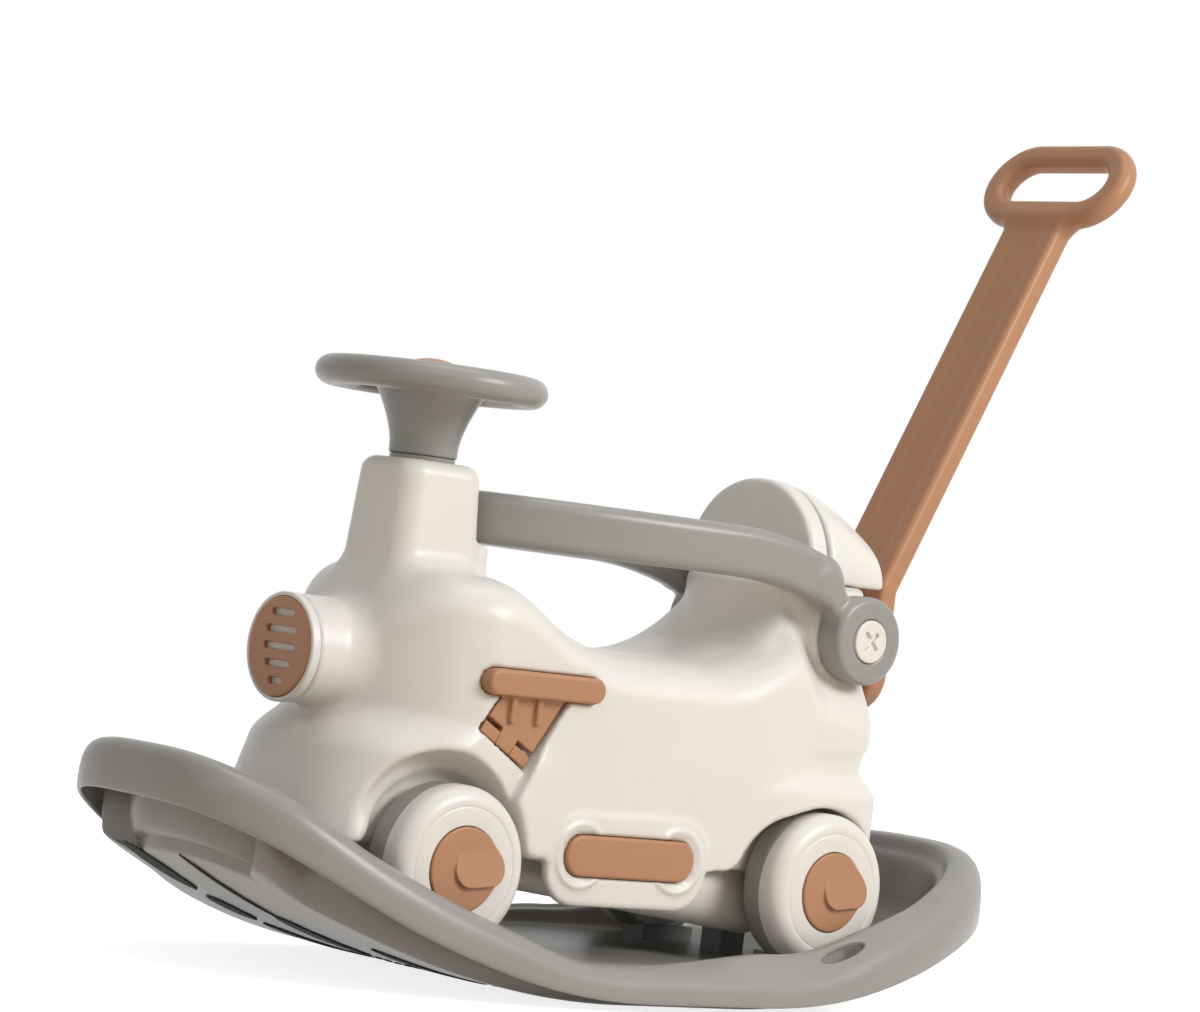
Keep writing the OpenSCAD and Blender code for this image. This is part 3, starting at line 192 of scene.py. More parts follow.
def drawn_steel(name, colour):
    material, tree, shader, place = new_material(name, colour, 0.32)
    stretch = put(tree, "ShaderNodeMapping", Vector=place, Scale=(1, 0.02, 1))
    lines = noise(tree, stretch, 2200, 3)
    feed(tree, shader, Roughness=spread(tree, lines, 0.24, 0.42), Normal=bump(tree, lines, 0.15, 0.0001),
         Metallic=1)
    return material


def dull_rubber(name, colour):
    material, tree, shader, place = new_material(name, colour, 0.75)
    grain = noise(tree, place, 700, 4)
    feed(tree, shader, **{
        "Base Color": drift(tree, grain, colour, 0.12), "Roughness": spread(tree, grain, 0.66, 0.86),
        "Normal": bump(tree, grain, 0.35, 0.0003)})
    return material


finishes = {
    "cream": moulded_plastic("cream_plastic", (0.742, 0.712, 0.664), 0.34),
    "grey": moulded_plastic("grey_plastic", (0.285, 0.276, 0.262), 0.32),
    "brown": moulded_plastic("brown_plastic", (0.420, 0.205, 0.105), 0.42),
    "steel": drawn_steel("drawn_steel", (0.62, 0.62, 0.62)),
    "dark": dull_rubber("dark_rubber", (0.040, 0.038, 0.036)),
}
slot_of = {part["node"]: part["material_slot"] for part in frame["record"]["subparts"]}
for node_name, node in frame["nodes"].items():
    for material_slot in node.material_slots:
        material_slot.material = finishes[slot_of[node_name]]
print("finishes:", sorted(finishes))

# %% [markdown]
# ## A mould for soft shapes
# A moulded shell has no hard edges: walls run into each other in round corners. Such a shape is easiest as
# a field, a function that is negative inside the piece and positive outside. Two fields join in a rounded
# corner or cut each other with a rounded edge, and the surface where the field is zero becomes the mesh.


# %% Rounded joins and cuts
def edge(a, b, r):
    """Where two shapes overlap, with the edge between them rounded to radius r."""
    corner = np.hypot(np.maximum(a + r, 0), np.maximum(b + r, 0))
    return np.minimum(np.maximum(a + r, b + r), 0) + corner - r


def join(a, b, r):
    """Two shapes together, with a hollow corner of radius r between them."""
    return -edge(-a, -b, r)


def carve(a, b, r):
    """Shape a without shape b, with a rounded rim."""
    return edge(a, -b, r)


def slab(v, low, high):
    return np.maximum(low - v, v - high)


def blend(a, b, share):
    return a + (b - a) * share


def ease(a, b, v):
    """0 before a, 1 after b, smooth between."""
    t = np.clip((v - a) / (b - a), 0, 1)
    return t * t * (3 - 2 * t)


def rise(distance, radius):
    """Height of an arc over its lowest point."""
    d = np.clip(distance, 0, radius)
    return radius - np.sqrt(radius ** 2 - d ** 2)


def round_box(u, v, half_u, half_v, r):
    """Rectangle with round corners, seen in two directions."""
    return edge(np.abs(u) - half_u, np.abs(v) - half_v, r)


def stadium(u, v, length, height):
    """Bar with round ends along u."""
    return np.hypot(np.maximum(np.abs(u) - (length - height) / 2, 0), v) - height / 2


def convex(u, v, corners):
    """Straight-sided outline; the corners run counter-clockwise."""
    sides = []
    for (u0, v0), (u1, v1) in zip(corners, corners[1:] + corners[:1]):
        length = math.hypot(u1 - u0, v1 - v0)
        sides.append(((u - u0) * (v1 - v0) - (v - v0) * (u1 - u0)) / length)
    return np.maximum.reduce(np.broadcast_arrays(*sides))


# %% [markdown]
# The mesh comes from a grid of samples. Every grid cell that the surface crosses gets one point, at the
# mean of the crossings on the cell's edges, and neighbouring cells share a face. The points are then slid
# along the field's slope onto the true surface.


# %% From a field to a mesh
def cell_points(values, cells):
    """One point for each cell, in grid steps: the mean of the surface's crossings on its edges."""
    total = np.zeros((len(cells), 3))
    hits = np.zeros(len(cells))
    for axis in range(3):
        others = [k for k in range(3) if k != axis]
        for shift in itertools.product((0, 1), repeat=2):
            start = cells.copy()
            start[:, others] += shift
            end = start.copy()
            end[:, axis] += 1
            a = values[tuple(start.T)]
            b = values[tuple(end.T)]
            crossed = (a < 0) != (b < 0)
            point = start.astype(float)
            point[:, axis] += np.where(crossed, a / np.where(a == b, 1, a - b), 0)
            total += point * crossed[:, None]
            hits += crossed
    return total / hits[:, None]


def cell_faces(inside, index):
    """Faces between the cells around every grid edge that the surface crosses."""
    faces = []
    for axis in range(3):
        u, v = (axis + 1) % 3, (axis + 2) % 3
        lower = np.take(inside, range(inside.shape[axis] - 1), axis)
        upper = np.take(inside, range(1, inside.shape[axis]), axis)
        edges = np.argwhere(lower != upper)
        outward = lower[tuple(edges.T)]
        ring = []
        for du, dv in ((1, 1), (0, 1), (0, 0), (1, 0)):
            cell = edges.copy()
            cell[:, u] -= du
            cell[:, v] -= dv
            ring.append(index[tuple(cell.T)])
        ring = np.stack(ring, 1)
        faces.append(np.where(outward[:, None], ring, ring[:, ::-1]))
    return np.concatenate(faces)


def settle(points, field, step, rounds=3):
    """Slides points along the field's slope onto its zero surface."""
    reach = 0.05 * step
    for _ in range(rounds):
        value = field(*points.T)
        slope = np.empty_like(points)
        for axis in range(3):
            shift = np.zeros(3)
            shift[axis] = reach
            slope[:, axis] = (field(*(points + shift).T) - field(*(points - shift).T)) / (2 * reach)
        steep = np.maximum((slope ** 2).sum(1), 0.05)
        move = -(value / steep)[:, None] * slope
        far = np.maximum(np.linalg.norm(move, axis=1) / (0.5 * step), 1)
        points = points + move / far[:, None]
    return points


def mesh_object(name, points, faces):
    """A smooth mesh object from points in metres."""
    mesh = bpy.data.meshes.new(name)
    mesh.from_pydata(points.tolist(), [], faces)
    mesh.validate()
    mesh.shade_smooth()
    return link(name, mesh)


def mould(name, field, low, high, step):
    """Meshes a field between two corners, in mm of the train's frame."""
    axes = [np.arange(a - 1.5 * step, b + 2.5 * step, step) for a, b in zip(low, high)]
    grid = np.meshgrid(*axes, indexing="ij", sparse=True)
    values = np.broadcast_to(field(*grid), [len(a) for a in axes])
    inside = values < 0
    counts = sum(inside[i:len(axes[0]) - 1 + i, j:len(axes[1]) - 1 + j, k:len(axes[2]) - 1 + k].astype(int)
                 for i, j, k in itertools.product((0, 1), repeat=3))
    active = (counts > 0) & (counts < 8)
    cells = np.argwhere(active)
    index = np.full(active.shape, -1)
    index[active] = np.arange(len(cells))
    origin = np.array([a[0] for a in axes])
    points = settle(origin + step * cell_points(values, cells), field, step)
    piece = mesh_object(name, points * MM + train_origin, cell_faces(inside, index).tolist())
    print(name, "has", len(piece.data.polygons), "faces")
    return piece


def mirrored(piece, name):
    """The same piece on the train's other side."""
    mesh = piece.data.copy()
    mesh.transform(Matrix.Scale(-1, 4, Vector((0, 1, 0))))
    mesh.flip_normals()
    return link(name, mesh)


def dress(piece, body, slot, *nodes):
    """Gives a piece its finish and its body, and hides the CAD nodes that it stands for."""
    piece.data.materials.clear()
    piece.data.materials.append(finishes[slot])
    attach(piece, body)
    if nodes:
        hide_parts(*nodes)
    return piece


def dress_pair(piece, body, slot, node):
    """Dresses a left piece and its twin on the right; {} stands for the side in the names."""
    twin = mirrored(piece, piece.name.replace("left", "right"))
    dress(twin, body.format("right"), slot, node.format("right"))
    dress(piece, body.format("left"), slot, node.format("left"))


# %% [markdown]
# ## Body
# One blow-moulded shell makes the skirt over the wheels, the boiler with its lamp barrel, the steering
# column, the saddle and the block that carries the backrest. Each is a field of its own, and wide hollow
# corners join them, as the plastic does when it is blown into a mould.

# %% Sizes of the body
skirt_half = 105
skirt_low, skirt_wall = 71, 8
nose_x, tail_x = 287, -267
nose_top, tail_top = 161, 154
nose_round, tail_round, skirt_edge = 88, 40, 22
nose_lean, lean_z = 0.34, 124
boiler_front, boiler_half, boiler_top = 254, 74, 280
boiler_round, nose_r = 56, 70
saddle_half, hip_half, hip_back, hip_round = 105.6, 96, -251, 34
hip_tops, shoulder_wide, shoulder_high = (262, 224), (44, 40), (34, 36)
seat_x, seat_l, seat_z = -60, 86, 233
seat_front, seat_rear, seat_slope = 140, 125, 0.6
column_x, column_top = 185, 362
column_half, column_flare, flare_depth, column_foot = (39, 36), 4.5, 90, 240
ledge_x, ledge_half, ledge_top = 146, (14, 33), 303.5
deck_front, deck_half, deck_top = -134, 74, 309
deck_round, deck_rear, deck_foot, hip_hollow = 66, 30, 200, (13, 39)
lamp_z, lamp_r, lamp_root, lamp_end = 209, 41, 200, 289.7
arch_r, arch_in, arch_corner = wheel_r + 4, 74, 22
rear_arch_x, rear_arch_z, rear_arch_r = -165, 50, 70


# %% Body fields
def lower_skirt(x, ay, z):
    """Skirt over the wheels, with round corners in plan and a nose that leans back."""
    lean = nose_lean * (z - lean_z)
    plan = np.maximum(edge(x - nose_x + lean, ay - skirt_half, nose_round),
                      edge(tail_x - x, ay - skirt_half, tail_round))
    top = tail_top + (nose_top - tail_top) * (x - tail_x) / (nose_x - tail_x)
    return edge(edge(plan, z - top, skirt_edge), skirt_low - z, 4)


def saddle_height(x):
    """Level seat, rising to the column in front and gently to the backrest behind."""
    ahead = np.maximum(x - seat_x - seat_l, 0)
    behind = np.maximum(seat_x - x, 0)
    bend = seat_slope * seat_front
    climb = np.where(ahead < bend, ahead ** 2 / (2 * seat_front), seat_slope * (ahead - bend / 2))
    return seat_z + climb + behind ** 2 / (2 * seat_rear)


def soft_low(a, b, k):
    h = np.maximum(k - np.abs(a - b), 0) / k
    return np.minimum(a, b) - h * h * k / 4


def upper_body(x, ay, z):
    """Boiler, saddle and hips in one sweep, with round shoulders."""
    share = ease(95, 190, -x)
    half = np.where(x > seat_x, blend(saddle_half, boiler_half, ease(165, 256, x)),
                    blend(saddle_half, hip_half, share))
    plan = np.maximum(edge(x - boiler_front, ay - half, boiler_round),
                      edge(hip_back - x, ay - half, hip_round))
    nose_fall = rise(x - boiler_front + boiler_round, nose_r)
    hip_top = blend(*hip_tops, ease(150, 190, -x))
    top = np.where(x > seat_x, soft_low(saddle_height(x), boiler_top, 14) - nose_fall,
                   soft_low(saddle_height(x), hip_top, 12))
    wide = blend(*shoulder_wide, share)
    high = blend(*shoulder_high, share)
    u = plan / wide + 1
    v = (z - top) / high + 1
    shoulder = np.hypot(np.maximum(u, 0), np.maximum(v, 0)) + np.minimum(np.maximum(u, v), 0) - 1
    return np.maximum(shoulder * np.minimum(wide, high), skirt_low - z)


def steering_column(x, ay, z):
    widen = column_flare * np.clip((column_top - z) / flare_depth, 0, 1.2)
    plan = round_box(x - column_x, ay, column_half[0] + widen, column_half[1] + widen, 20)
    ledge = edge(round_box(x - ledge_x, ay, *ledge_half, 8), z - ledge_top, 4)
    tower = edge(plan, z - column_top, 11)
    return np.maximum(join(tower, ledge, 5), column_foot - z)


def backrest_deck(x, ay, z):
    middle = (deck_front + hip_back) / 2
    length = (deck_front - hip_back) / 2
    front = edge(x - middle - length, ay - deck_half, deck_round)
    plan = np.maximum(front, edge(middle - length - x, ay - deck_half, deck_rear))
    return np.maximum(edge(plan, z - deck_top, 8), deck_foot - z)


def lamp_barrel(x, y, z):
    return np.maximum(edge(np.hypot(y, z - lamp_z) - lamp_r, x - lamp_end, 2), lamp_root - x)


# %% [markdown]
# The sides carry smaller forms: a hollow that leads into each front arch, a raised plate that frames the
# trim bar, a round seat for the guard rail, the pocket that the footrest folds into, and a lower strip
# beneath it.

# %% Places on the body's sides
trim_x, trim_z, trim_l, trim_h = 18, 77, 132, 32
trim_in, trim_out, trim_floor, trim_gap = 102.1, skirt_half + 5, 101.8, 1.4
sheet_wide, sheet_high, sheet_round = 17, 20, 30
sheet_in, sheet_out, bead_out = skirt_half - 7, skirt_half + 2, skirt_half + 4
bead_gap, bead_half = 8, 2.2
bar_x, bar_z, bar_l, bar_h, bar_gap = 125, 203, 116, 20, 0.8
strip_point, strip_way, strip_in, strip_fade = (135.7, 122.1), (0.881, 0.475), 100, 0.11
pocket_in, groove_in = 89.5, 93
bar_out = skirt_half + 8
hub_x, hub_z, hub_r, rail_seat_r = -217, 266, 36, 37.5
cove_place, cove_r, cove_w, cove_depth, cove_scale = (13, 6), 62, 18, (14, 28), 17
plate_front = (176, 170)
plate_l, plate_slope, plate_top = 53, 0.64, 197
plate_tilt = math.radians(28.5)
way = (math.cos(plate_tilt), math.sin(plate_tilt))
plate_rear = (plate_front[0] - plate_l * way[0], plate_front[1] - plate_l * way[1])


def plate_side(corner, z):
    """Point of the plate's leaning side above an end of its hinge."""
    return corner[0] - plate_slope * (z - corner[1]), z


pocket_corners = [
    (plate_side(plate_rear, bar_z)[0] - 3.5, bar_z),
    (plate_rear[0] - 3 * way[0] + 7 * way[1], plate_rear[1] - 3 * way[1] - 7 * way[0]),
    (plate_front[0] + 3 * way[0] + 7 * way[1], plate_front[1] + 3 * way[1] - 7 * way[0]),
    (plate_side(plate_front, bar_z)[0] + 3.5, bar_z)]
print("footrest pocket:", [(round(u, 1), round(v, 1)) for u, v in pocket_corners])


# %% Forms on the body's sides
def arch_cove(x, ay, z):
    """Hollow that leads into a front arch, a quarter of an ellipse swept round the wheel."""
    reach = np.hypot(x - half_base - cove_place[0], z - wheel_r - cove_place[1])
    outward = np.maximum(reach - cove_r, 0) / cove_w
    inward = np.minimum(ay - skirt_half - 0.5, 0) / blend(*cove_depth, ease(45, 115, z))
    return (np.hypot(outward, inward) - 1) * cove_scale


def strip_ahead(x, z):
    """Distance ahead of the line where the strip under the footrest steps up to the side panel."""
    return (x - strip_point[0]) * strip_way[0] + (z - strip_point[1]) * strip_way[1]


def footrest_strip(x, ay, z):
    """Strip between the footrest and the arch; it is lowest at the panel and fades out to the front."""
    ahead = strip_ahead(x, z)
    return np.maximum(np.maximum(-ahead, z - bar_z), strip_in + strip_fade * ahead - ay)


def trim_plate(x, ay, z):
    """Plate that hangs below the skirt, with a raised bead round each end of the trim bar."""
    sheet = edge(round_box(x - trim_x, z - trim_z + 3, trim_l / 2 + sheet_wide, trim_h / 2 + sheet_high,
                           sheet_round), slab(ay, sheet_in, sheet_out), 3)
    ends = np.abs(x - trim_x) - (trim_l - trim_h) / 2
    bead = np.abs(np.hypot(ends, z - trim_z) - trim_h / 2 - bead_gap) - bead_half
    return join(sheet, edge(bead, slab(ay, sheet_in, bead_out), 1.4), 0.8)


def footrest_pocket(x, ay, z):
    """Recess behind the folding plate, and the groove for its bar."""
    behind = edge(convex(x, z, pocket_corners), pocket_in - ay, 1)
    groove = edge(stadium(x - bar_x, z - bar_z, bar_l + bar_gap, bar_h + bar_gap), groove_in - ay, 1)
    return np.minimum(behind, groove)


def wheel_arch(x, ay, z):
    """Room for a wheel, wider ahead of the rear one; the skirt's corners beside it are rounded."""
    circle = np.hypot(np.abs(x) - half_base, z - wheel_r) - arch_r
    circle = join(circle, np.hypot(x - rear_arch_x, z - rear_arch_z) - rear_arch_r, 6)
    below = np.maximum(z - skirt_low, circle - arch_corner)
    return edge(join(circle, below, 14), arch_in - ay, 3)


# %% The whole body
def body(x, y, z):
    ay = np.abs(y)
    shoulder = 0.5 + 17 * ease(70, 150, x) + 6 * ease(120, 190, -x)
    shape = join(lower_skirt(x, ay, z), upper_body(x, ay, z), shoulder)
    shape = join(shape, steering_column(x, ay, z), 16)
    shape = join(shape, backrest_deck(x, ay, z), blend(*hip_hollow, ease(24, 70, ay)))
    shape = join(shape, lamp_barrel(x, y, z), 15)
    shape = carve(shape, footrest_strip(x, ay, z), 1)
    ahead = strip_ahead(x, z)
    cove_edge = 5 - 4 * ease(-6, 0, ahead) * ease(60, 35, ahead)
    shape = carve(shape, arch_cove(x, ay, z), cove_edge)
    rail_seat = edge(np.hypot(x - hub_x, z - hub_z) - rail_seat_r, slab(ay, 40, deck_half + 4), 1.5)
    shape = join(shape, rail_seat, 5)
    shape = join(shape, trim_plate(x, ay, z), 3)
    pocket = edge(stadium(x - trim_x, z - trim_z, trim_l + trim_gap, trim_h + trim_gap), trim_floor - ay, 1)
    shape = carve(shape, pocket, 1.2)
    shape = carve(shape, footrest_pocket(x, ay, z), 1.4)
    hollow = np.maximum(np.maximum(shape + skirt_wall, z - 90), 60 - z)
    arch = wheel_arch(x, ay, z)
    shape = carve(shape, arch, 3 + 4 * ease(0, 60, x))
    hollow = np.maximum(hollow, 5 - arch)
    return carve(shape, hollow, 0.8)


body_piece = mould("body", body, (tail_x, -112, 40), (nose_x + 19, 112, column_top + 1), 3.0)
dress(body_piece, "train", "cream", "body_shell")

# %% [markdown]
# A smooth belly closes the body from below, between the axles, on a plate that is screwed to the skirt.

# %% Belly
base_x, base_l, base_half, base_low, base_top = -4, 242.5, 70.2, 78, 82
tub_front, tub_rear, tub_half, tub_taper, tub_round = 168, -177, 66, 10, 22
tub_low, tub_slope = 24, 0.1


def belly(x, y, z):
    ay = np.abs(y)
    plate = edge(round_box(x - base_x, y, base_l, base_half, 12), slab(z, base_low, base_top), 1)
    bottom = tub_low + tub_slope * np.clip(x + 100, -68, 268)
    sides = edge(ay - tub_half + tub_taper * ease(50, 74, z), bottom - z, tub_round)
    tub = edge(sides, np.maximum(x - tub_front, tub_rear - x), 10)
    return np.minimum(plate, np.maximum(tub, z - base_low - 1))


under = mould("belly_piece", belly, (base_x - base_l, -base_half, 17),
              (base_x + base_l, base_half, base_top), 2)
dress(under, "train", "cream", "underbody")

# %% [markdown]
# ## Backrest
# The pad has a flat front with a soft edge, and the rear shell slopes down behind it to a round end. A
# recess between them shows as a dark line.

# %% Backrest
rest_x, rest_half, rest_top, rest_power = -168, 77.6, 389, 2.1
rest_base = deck_top + 0.3
pad_end, shell_start, shell_end = -188, -192, -275


def arch_outline(y, z, half, top):
    """Arch over the deck, flat below."""
    climb = np.maximum(z - rest_base, 0) / np.maximum(top - rest_base, 1)
    size = (np.abs(y / half) ** rest_power + climb ** rest_power) ** (1 / rest_power)
    return (size - 1) * np.minimum(half, top - rest_base)


def backrest_pad(x, y, z):
    disc = edge(arch_outline(y, z, rest_half, rest_top), slab(x, pad_end, rest_x), 5)
    return edge(disc, rest_base - z, 3)


def backrest_shell(x, y, z):
    t = np.clip((shell_start - x) / (shell_start - shell_end), 0, 1)
    half = (rest_half - 1.5) * (1 - 0.2 * t * t)
    top = rest_top - 2 - (rest_top - rest_base) * 0.5 * t ** 1.5
    dome = edge(arch_outline(y, z, half, top), shell_end - x, 16)
    return edge(edge(dome, x - shell_start, 4), rest_base - z, 3)


rest_span = 79
pad = mould("backrest_pad_piece", backrest_pad, (pad_end, -rest_span, rest_base),
            (rest_x, rest_span, rest_top + 1), 2)
dress(pad, "train", "cream", "backrest_pad")
rear = mould("backrest_shell_piece", backrest_shell, (shell_end, -rest_span, rest_base),
             (shell_start, rest_span, rest_top), 2)
dress(rear, "train", "cream", "backrest_shell")

# %% [markdown]
# ## Guard rail and its locks
# The rail is a thick grey band that runs round the child in an oval. Each end bends down to a short neck
# and a round hub, where a cream lock cap with a cross holds it. The distance to the oval is measured in
# plan, and the band's round section is built on that distance.

# %% Guard rail
rail_z, rail_h, rail_t = 325, 41, 22
rail_y, rail_front, rail_rear, rail_end = 89.3, 132, -150, -167
rail_bend_x, rail_bend_r = -70, 330
hub_in, hub_out, neck_half = 78.3, 104.3, 11.5
lock_r, lock_in, shank_r = 17.5, deck_half - 12, 8.9
cross_l, cross_w, diagonal = 20, 4, 1.414
oval = np.linspace(-math.pi / 2, math.pi / 2, 121)
rail_line = np.concatenate([
    [[rail_end, -rail_y]],
    np.stack([rail_rear + (rail_front - rail_rear) * np.cos(oval), rail_y * np.sin(oval)], 1),
    [[rail_end, rail_y]]])


def line_distance(x, y, line):
    """Distance in plan to a line through points."""
    nearest = np.full(np.broadcast(x, y).shape, np.inf)
    for (x0, y0), (x1, y1) in zip(line[:-1], line[1:]):
        dx, dy = x1 - x0, y1 - y0
        t = np.clip(((x - x0) * dx + (y - y0) * dy) / (dx * dx + dy * dy), 0, 1)
        nearest = np.minimum(nearest, np.hypot(x - x0 - t * dx, y - y0 - t * dy))
    return nearest


def guard_rail(x, y, z):
    ay = np.abs(y)
    level = rail_z - rise(rail_bend_x - np.maximum(x, rail_end), rail_bend_r)
    height = np.hypot(np.minimum(x - rail_end, 0), z - level) - rail_h / 2
    band = edge(line_distance(np.maximum(x, rail_end), y, rail_line) - rail_t / 2, height, 10)
    middle = hub_in + rail_t / 2
    run, climb = rail_end - hub_x, rail_z - rise(rail_bend_x - rail_end, rail_bend_r) - hub_z
    along = np.hypot(run, climb)
    u = ((x - hub_x) * run + (z - hub_z) * climb) / along
    v = ((z - hub_z) * run - (x - hub_x) * climb) / along
    neck = edge(np.hypot(u - np.clip(u, 0, along), v) - neck_half, np.abs(ay - middle) - rail_t / 2 + 1, 7)
    hub = edge(np.hypot(x - hub_x, z - hub_z) - hub_r, slab(ay, hub_in, hub_out), 5)
    shape = join(join(band, neck, 8), hub, 6)
    seat = edge(np.hypot(x - hub_x, z - hub_z) - lock_r - 0.6, hub_out - 3 - ay, 0.3)
    return carve(shape, seat, 1)


rail = mould("guard_rail_piece", guard_rail, (hub_x - hub_r, -rail_y - 16, hub_z - hub_r),
             (rail_front + rail_t / 2, rail_y + 16, rail_z + rail_h / 2), 2)
dress(rail, "train", "grey", "guard_rail")


def lock_cap(x, y, z):
    """Round cap with a cross cut into it, and the shank behind it."""
    u, v = x - hub_x, z - hub_z
    cap = edge(np.hypot(u, v) - lock_r, slab(y, hub_out - 2.6, hub_out + 1.6), 1.2)
    a, b = (u + v) / diagonal, (u - v) / diagonal
    cross = np.minimum(stadium(a, b, cross_l, cross_w), stadium(b, a, cross_l, cross_w))
    cap = carve(cap, np.maximum(cross, hub_out - 1 - y), 0.5)
    shank = edge(np.hypot(u, v) - shank_r, slab(y, lock_in, hub_out - 2), 1)
    return np.minimum(cap, shank)


lock = mould("lock_left_piece", lock_cap, (hub_x - lock_r, lock_in, hub_z - lock_r),
             (hub_x + lock_r, hub_out + 1.6, hub_z + lock_r), 0.8)
dress_pair(lock, "lock_{}", "cream", "lock_{}")

# %% [markdown]
# ## Footrests and trim bars
# A footrest is a bar under the child's foot on a plate with two ribs. It folds out about a hinge at the
# plate's lower edge, a flat strip in three parts: the middle one belongs to the plate, and the outer two
# stay on the body. The trim bar is a plain brown lozenge with softened edges.

# %% Footrests
plate_in, plate_out = 92, 102.4
hinge_third, hinge_in = plate_l / 3, 91
rib_places, rib_z, rib_l, rib_w = (151, 125.5), 184, 24, 6


def hinge_axes(x, z):
    """Distance along the hinge from its rear end, and distance across it in the side view."""
    u, v = x - plate_rear[0], z - plate_rear[1]
    return u * way[0] + v * way[1], v * way[0] - u * way[1]


def hinge_part(along, across, y, start, end):
    """Part of the hinge strip between two places along it."""
    return edge(edge(slab(along, start, end), slab(across, -5.5, 4), 0.8), slab(y, hinge_in, plate_out), 0.8)


def footrest(x, y, z):
    along, across = hinge_axes(x, z)
    corners = [plate_rear, plate_front, plate_side(plate_front, plate_top), plate_side(plate_rear, plate_top)]
    plate = edge(convex(x, z, corners), slab(y, plate_in, plate_out), 1)
    outer = np.maximum(np.minimum(along - hinge_third, 2 * hinge_third - along), across - 8)
    shape = carve(plate, outer, 0.6)
    shape = join(shape, hinge_part(along, across, y, hinge_third + 0.4, 2 * hinge_third - 0.4), 0.6)
    for rib_x in rib_places:
        rib = edge(stadium(z - rib_z, x - rib_x, rib_l, rib_w), slab(y, plate_in, plate_out + 4), 2)
        shape = join(shape, rib, 1)
    bar = edge(stadium(x - bar_x, z - bar_z, bar_l, bar_h), slab(y, skirt_half - 9, bar_out), 3)
    return join(shape, bar, 2)


def hinge_ends(x, y, z):
    along, across = hinge_axes(x, z)
    return np.minimum(hinge_part(along, across, y, 0, hinge_third),
                      hinge_part(along, across, y, 2 * hinge_third, plate_l))


rest = mould("footrest_left_piece", footrest, (bar_x - bar_l / 2, hinge_in, plate_rear[1] - 6),
             (bar_x + bar_l / 2, bar_out, bar_z + bar_h / 2), 1)
dress_pair(rest, "footrest_{}", "brown", "footrest_{}")
ends = mould("hinge_left_piece", hinge_ends, (plate_rear[0] - 3, hinge_in, plate_rear[1] - 6),
             (plate_front[0] + 4, plate_out, plate_front[1] + 4), 0.7)
dress_pair(ends, "train", "brown", "footrest_hinge_{}")


# %% Trim bars
def trim_bar(x, y, z):
    return edge(stadium(x - trim_x, z - trim_z, trim_l, trim_h), slab(y, trim_in, trim_out), 2.5)


trim = mould("trim_left_piece", trim_bar, (trim_x - trim_l / 2, 102, trim_z - trim_h / 2),
             (trim_x + trim_l / 2, trim_out, trim_z + trim_h / 2), 1)
dress_pair(trim, "train", "brown", "trim_{}")

# %% [markdown]
# ## Headlamp
# The lamp is a brown disc with five slots, set into a thin cream ring. The slots get shorter towards the
# top and the bottom, so that they fill the circle.

# %% Headlamp
grille_r, grille_x, grille_t = 38, 299, 4.5
slot_pitch, slot_h = 12.9, 5.4
slot_lengths = (17, 31, 39, 37, 28)


def lamp_grille(x, y, z):
    v = z - lamp_z
    disc = edge(np.hypot(y, v) - grille_r, slab(x, grille_x - grille_t, grille_x), 2)
    for row, length in zip(range(-2, 3), slot_lengths):
        disc = carve(disc, stadium(y, v - row * slot_pitch, length, slot_h), 0.8)
    return disc


def lamp_ring(x, y, z):
    reach = np.hypot(y, z - lamp_z)
    ring = edge(reach - lamp_r - 0.5, slab(x, lamp_end + 0.3, grille_x - 1), 1.4)
    return carve(ring, edge(reach - grille_r - 0.3, lamp_end + 1.8 - x, 0.2), 0.4)


lamp_low = (lamp_end, -lamp_r - 1, lamp_z - lamp_r - 1)
lamp_high = (grille_x + 0.5, lamp_r + 1, lamp_z + lamp_r + 1)
dress(mould("lamp_grille_piece", lamp_grille, lamp_low, lamp_high, 0.9), "train", "brown", "headlamp_grille")
dress(mould("lamp_ring_piece", lamp_ring, lamp_low, lamp_high, 0.8), "train", "cream", "headlamp_bezel")

# %% [markdown]
# ## Steering wheel and horn
# Rim, three flat spokes and hub are one moulding on a flared stem. The horn button sits in the hub and
# keeps its own piece, because it travels.

# %% Steering wheel
steer_z, rim_r, rim_t = 423, 77.5, 25
steer_hub_r, stem_top = 43, 417
stem_r, stem_low = 26.5, 365.5
spoke_turns, spoke_half, spoke_t, spoke_start = (60, 180, 300), 13, 10, 30
horn_r, horn_seat, horn_base, horn_h, horn_curve = 22, 426.5, 4.5, 10, 90


def steering_wheel(x, y, z):
    u, v, w = x - column_x, y, z - steer_z
    reach = np.hypot(u, v)
    shape = np.hypot(reach - rim_r, w * 1.08) - rim_t / 2
    hub = edge(reach - steer_hub_r, slab(z, stem_top + 0.2, steer_z + rim_t / 2 - 1), 4)
    for turn in spoke_turns:
        c, s = math.cos(math.radians(turn)), math.sin(math.radians(turn))
        arm = edge(edge(np.abs(v * c - u * s) - spoke_half, slab(u * c + v * s, spoke_start, rim_r), 1),
                   slab(z, stem_top + 0.2, stem_top + spoke_t), 3)
        hub = join(hub, arm, 6)
    shape = join(shape, hub, 6)
    return carve(shape, edge(reach - horn_r - 0.5, horn_seat - z, 0.3), 1.5)


wheel_span = rim_r + rim_t / 2 + 1
steer = mould("steering_wheel_piece", steering_wheel, (column_x - wheel_span, -wheel_span, stem_top - 8),
              (column_x + wheel_span, wheel_span, steer_z + rim_t / 2 + 1), 1.8)
dress(steer, "steering", "grey", "steering_wheel")


def steering_stem(x, y, z):
    t = np.clip((z - stem_low - 6) / (stem_top - stem_low - 6), 0, 1)
    flare = stem_r + (steer_hub_r - stem_r) * t ** 1.6
    return edge(np.hypot(x - column_x, y) - flare, slab(z, stem_low, stem_top), 2)


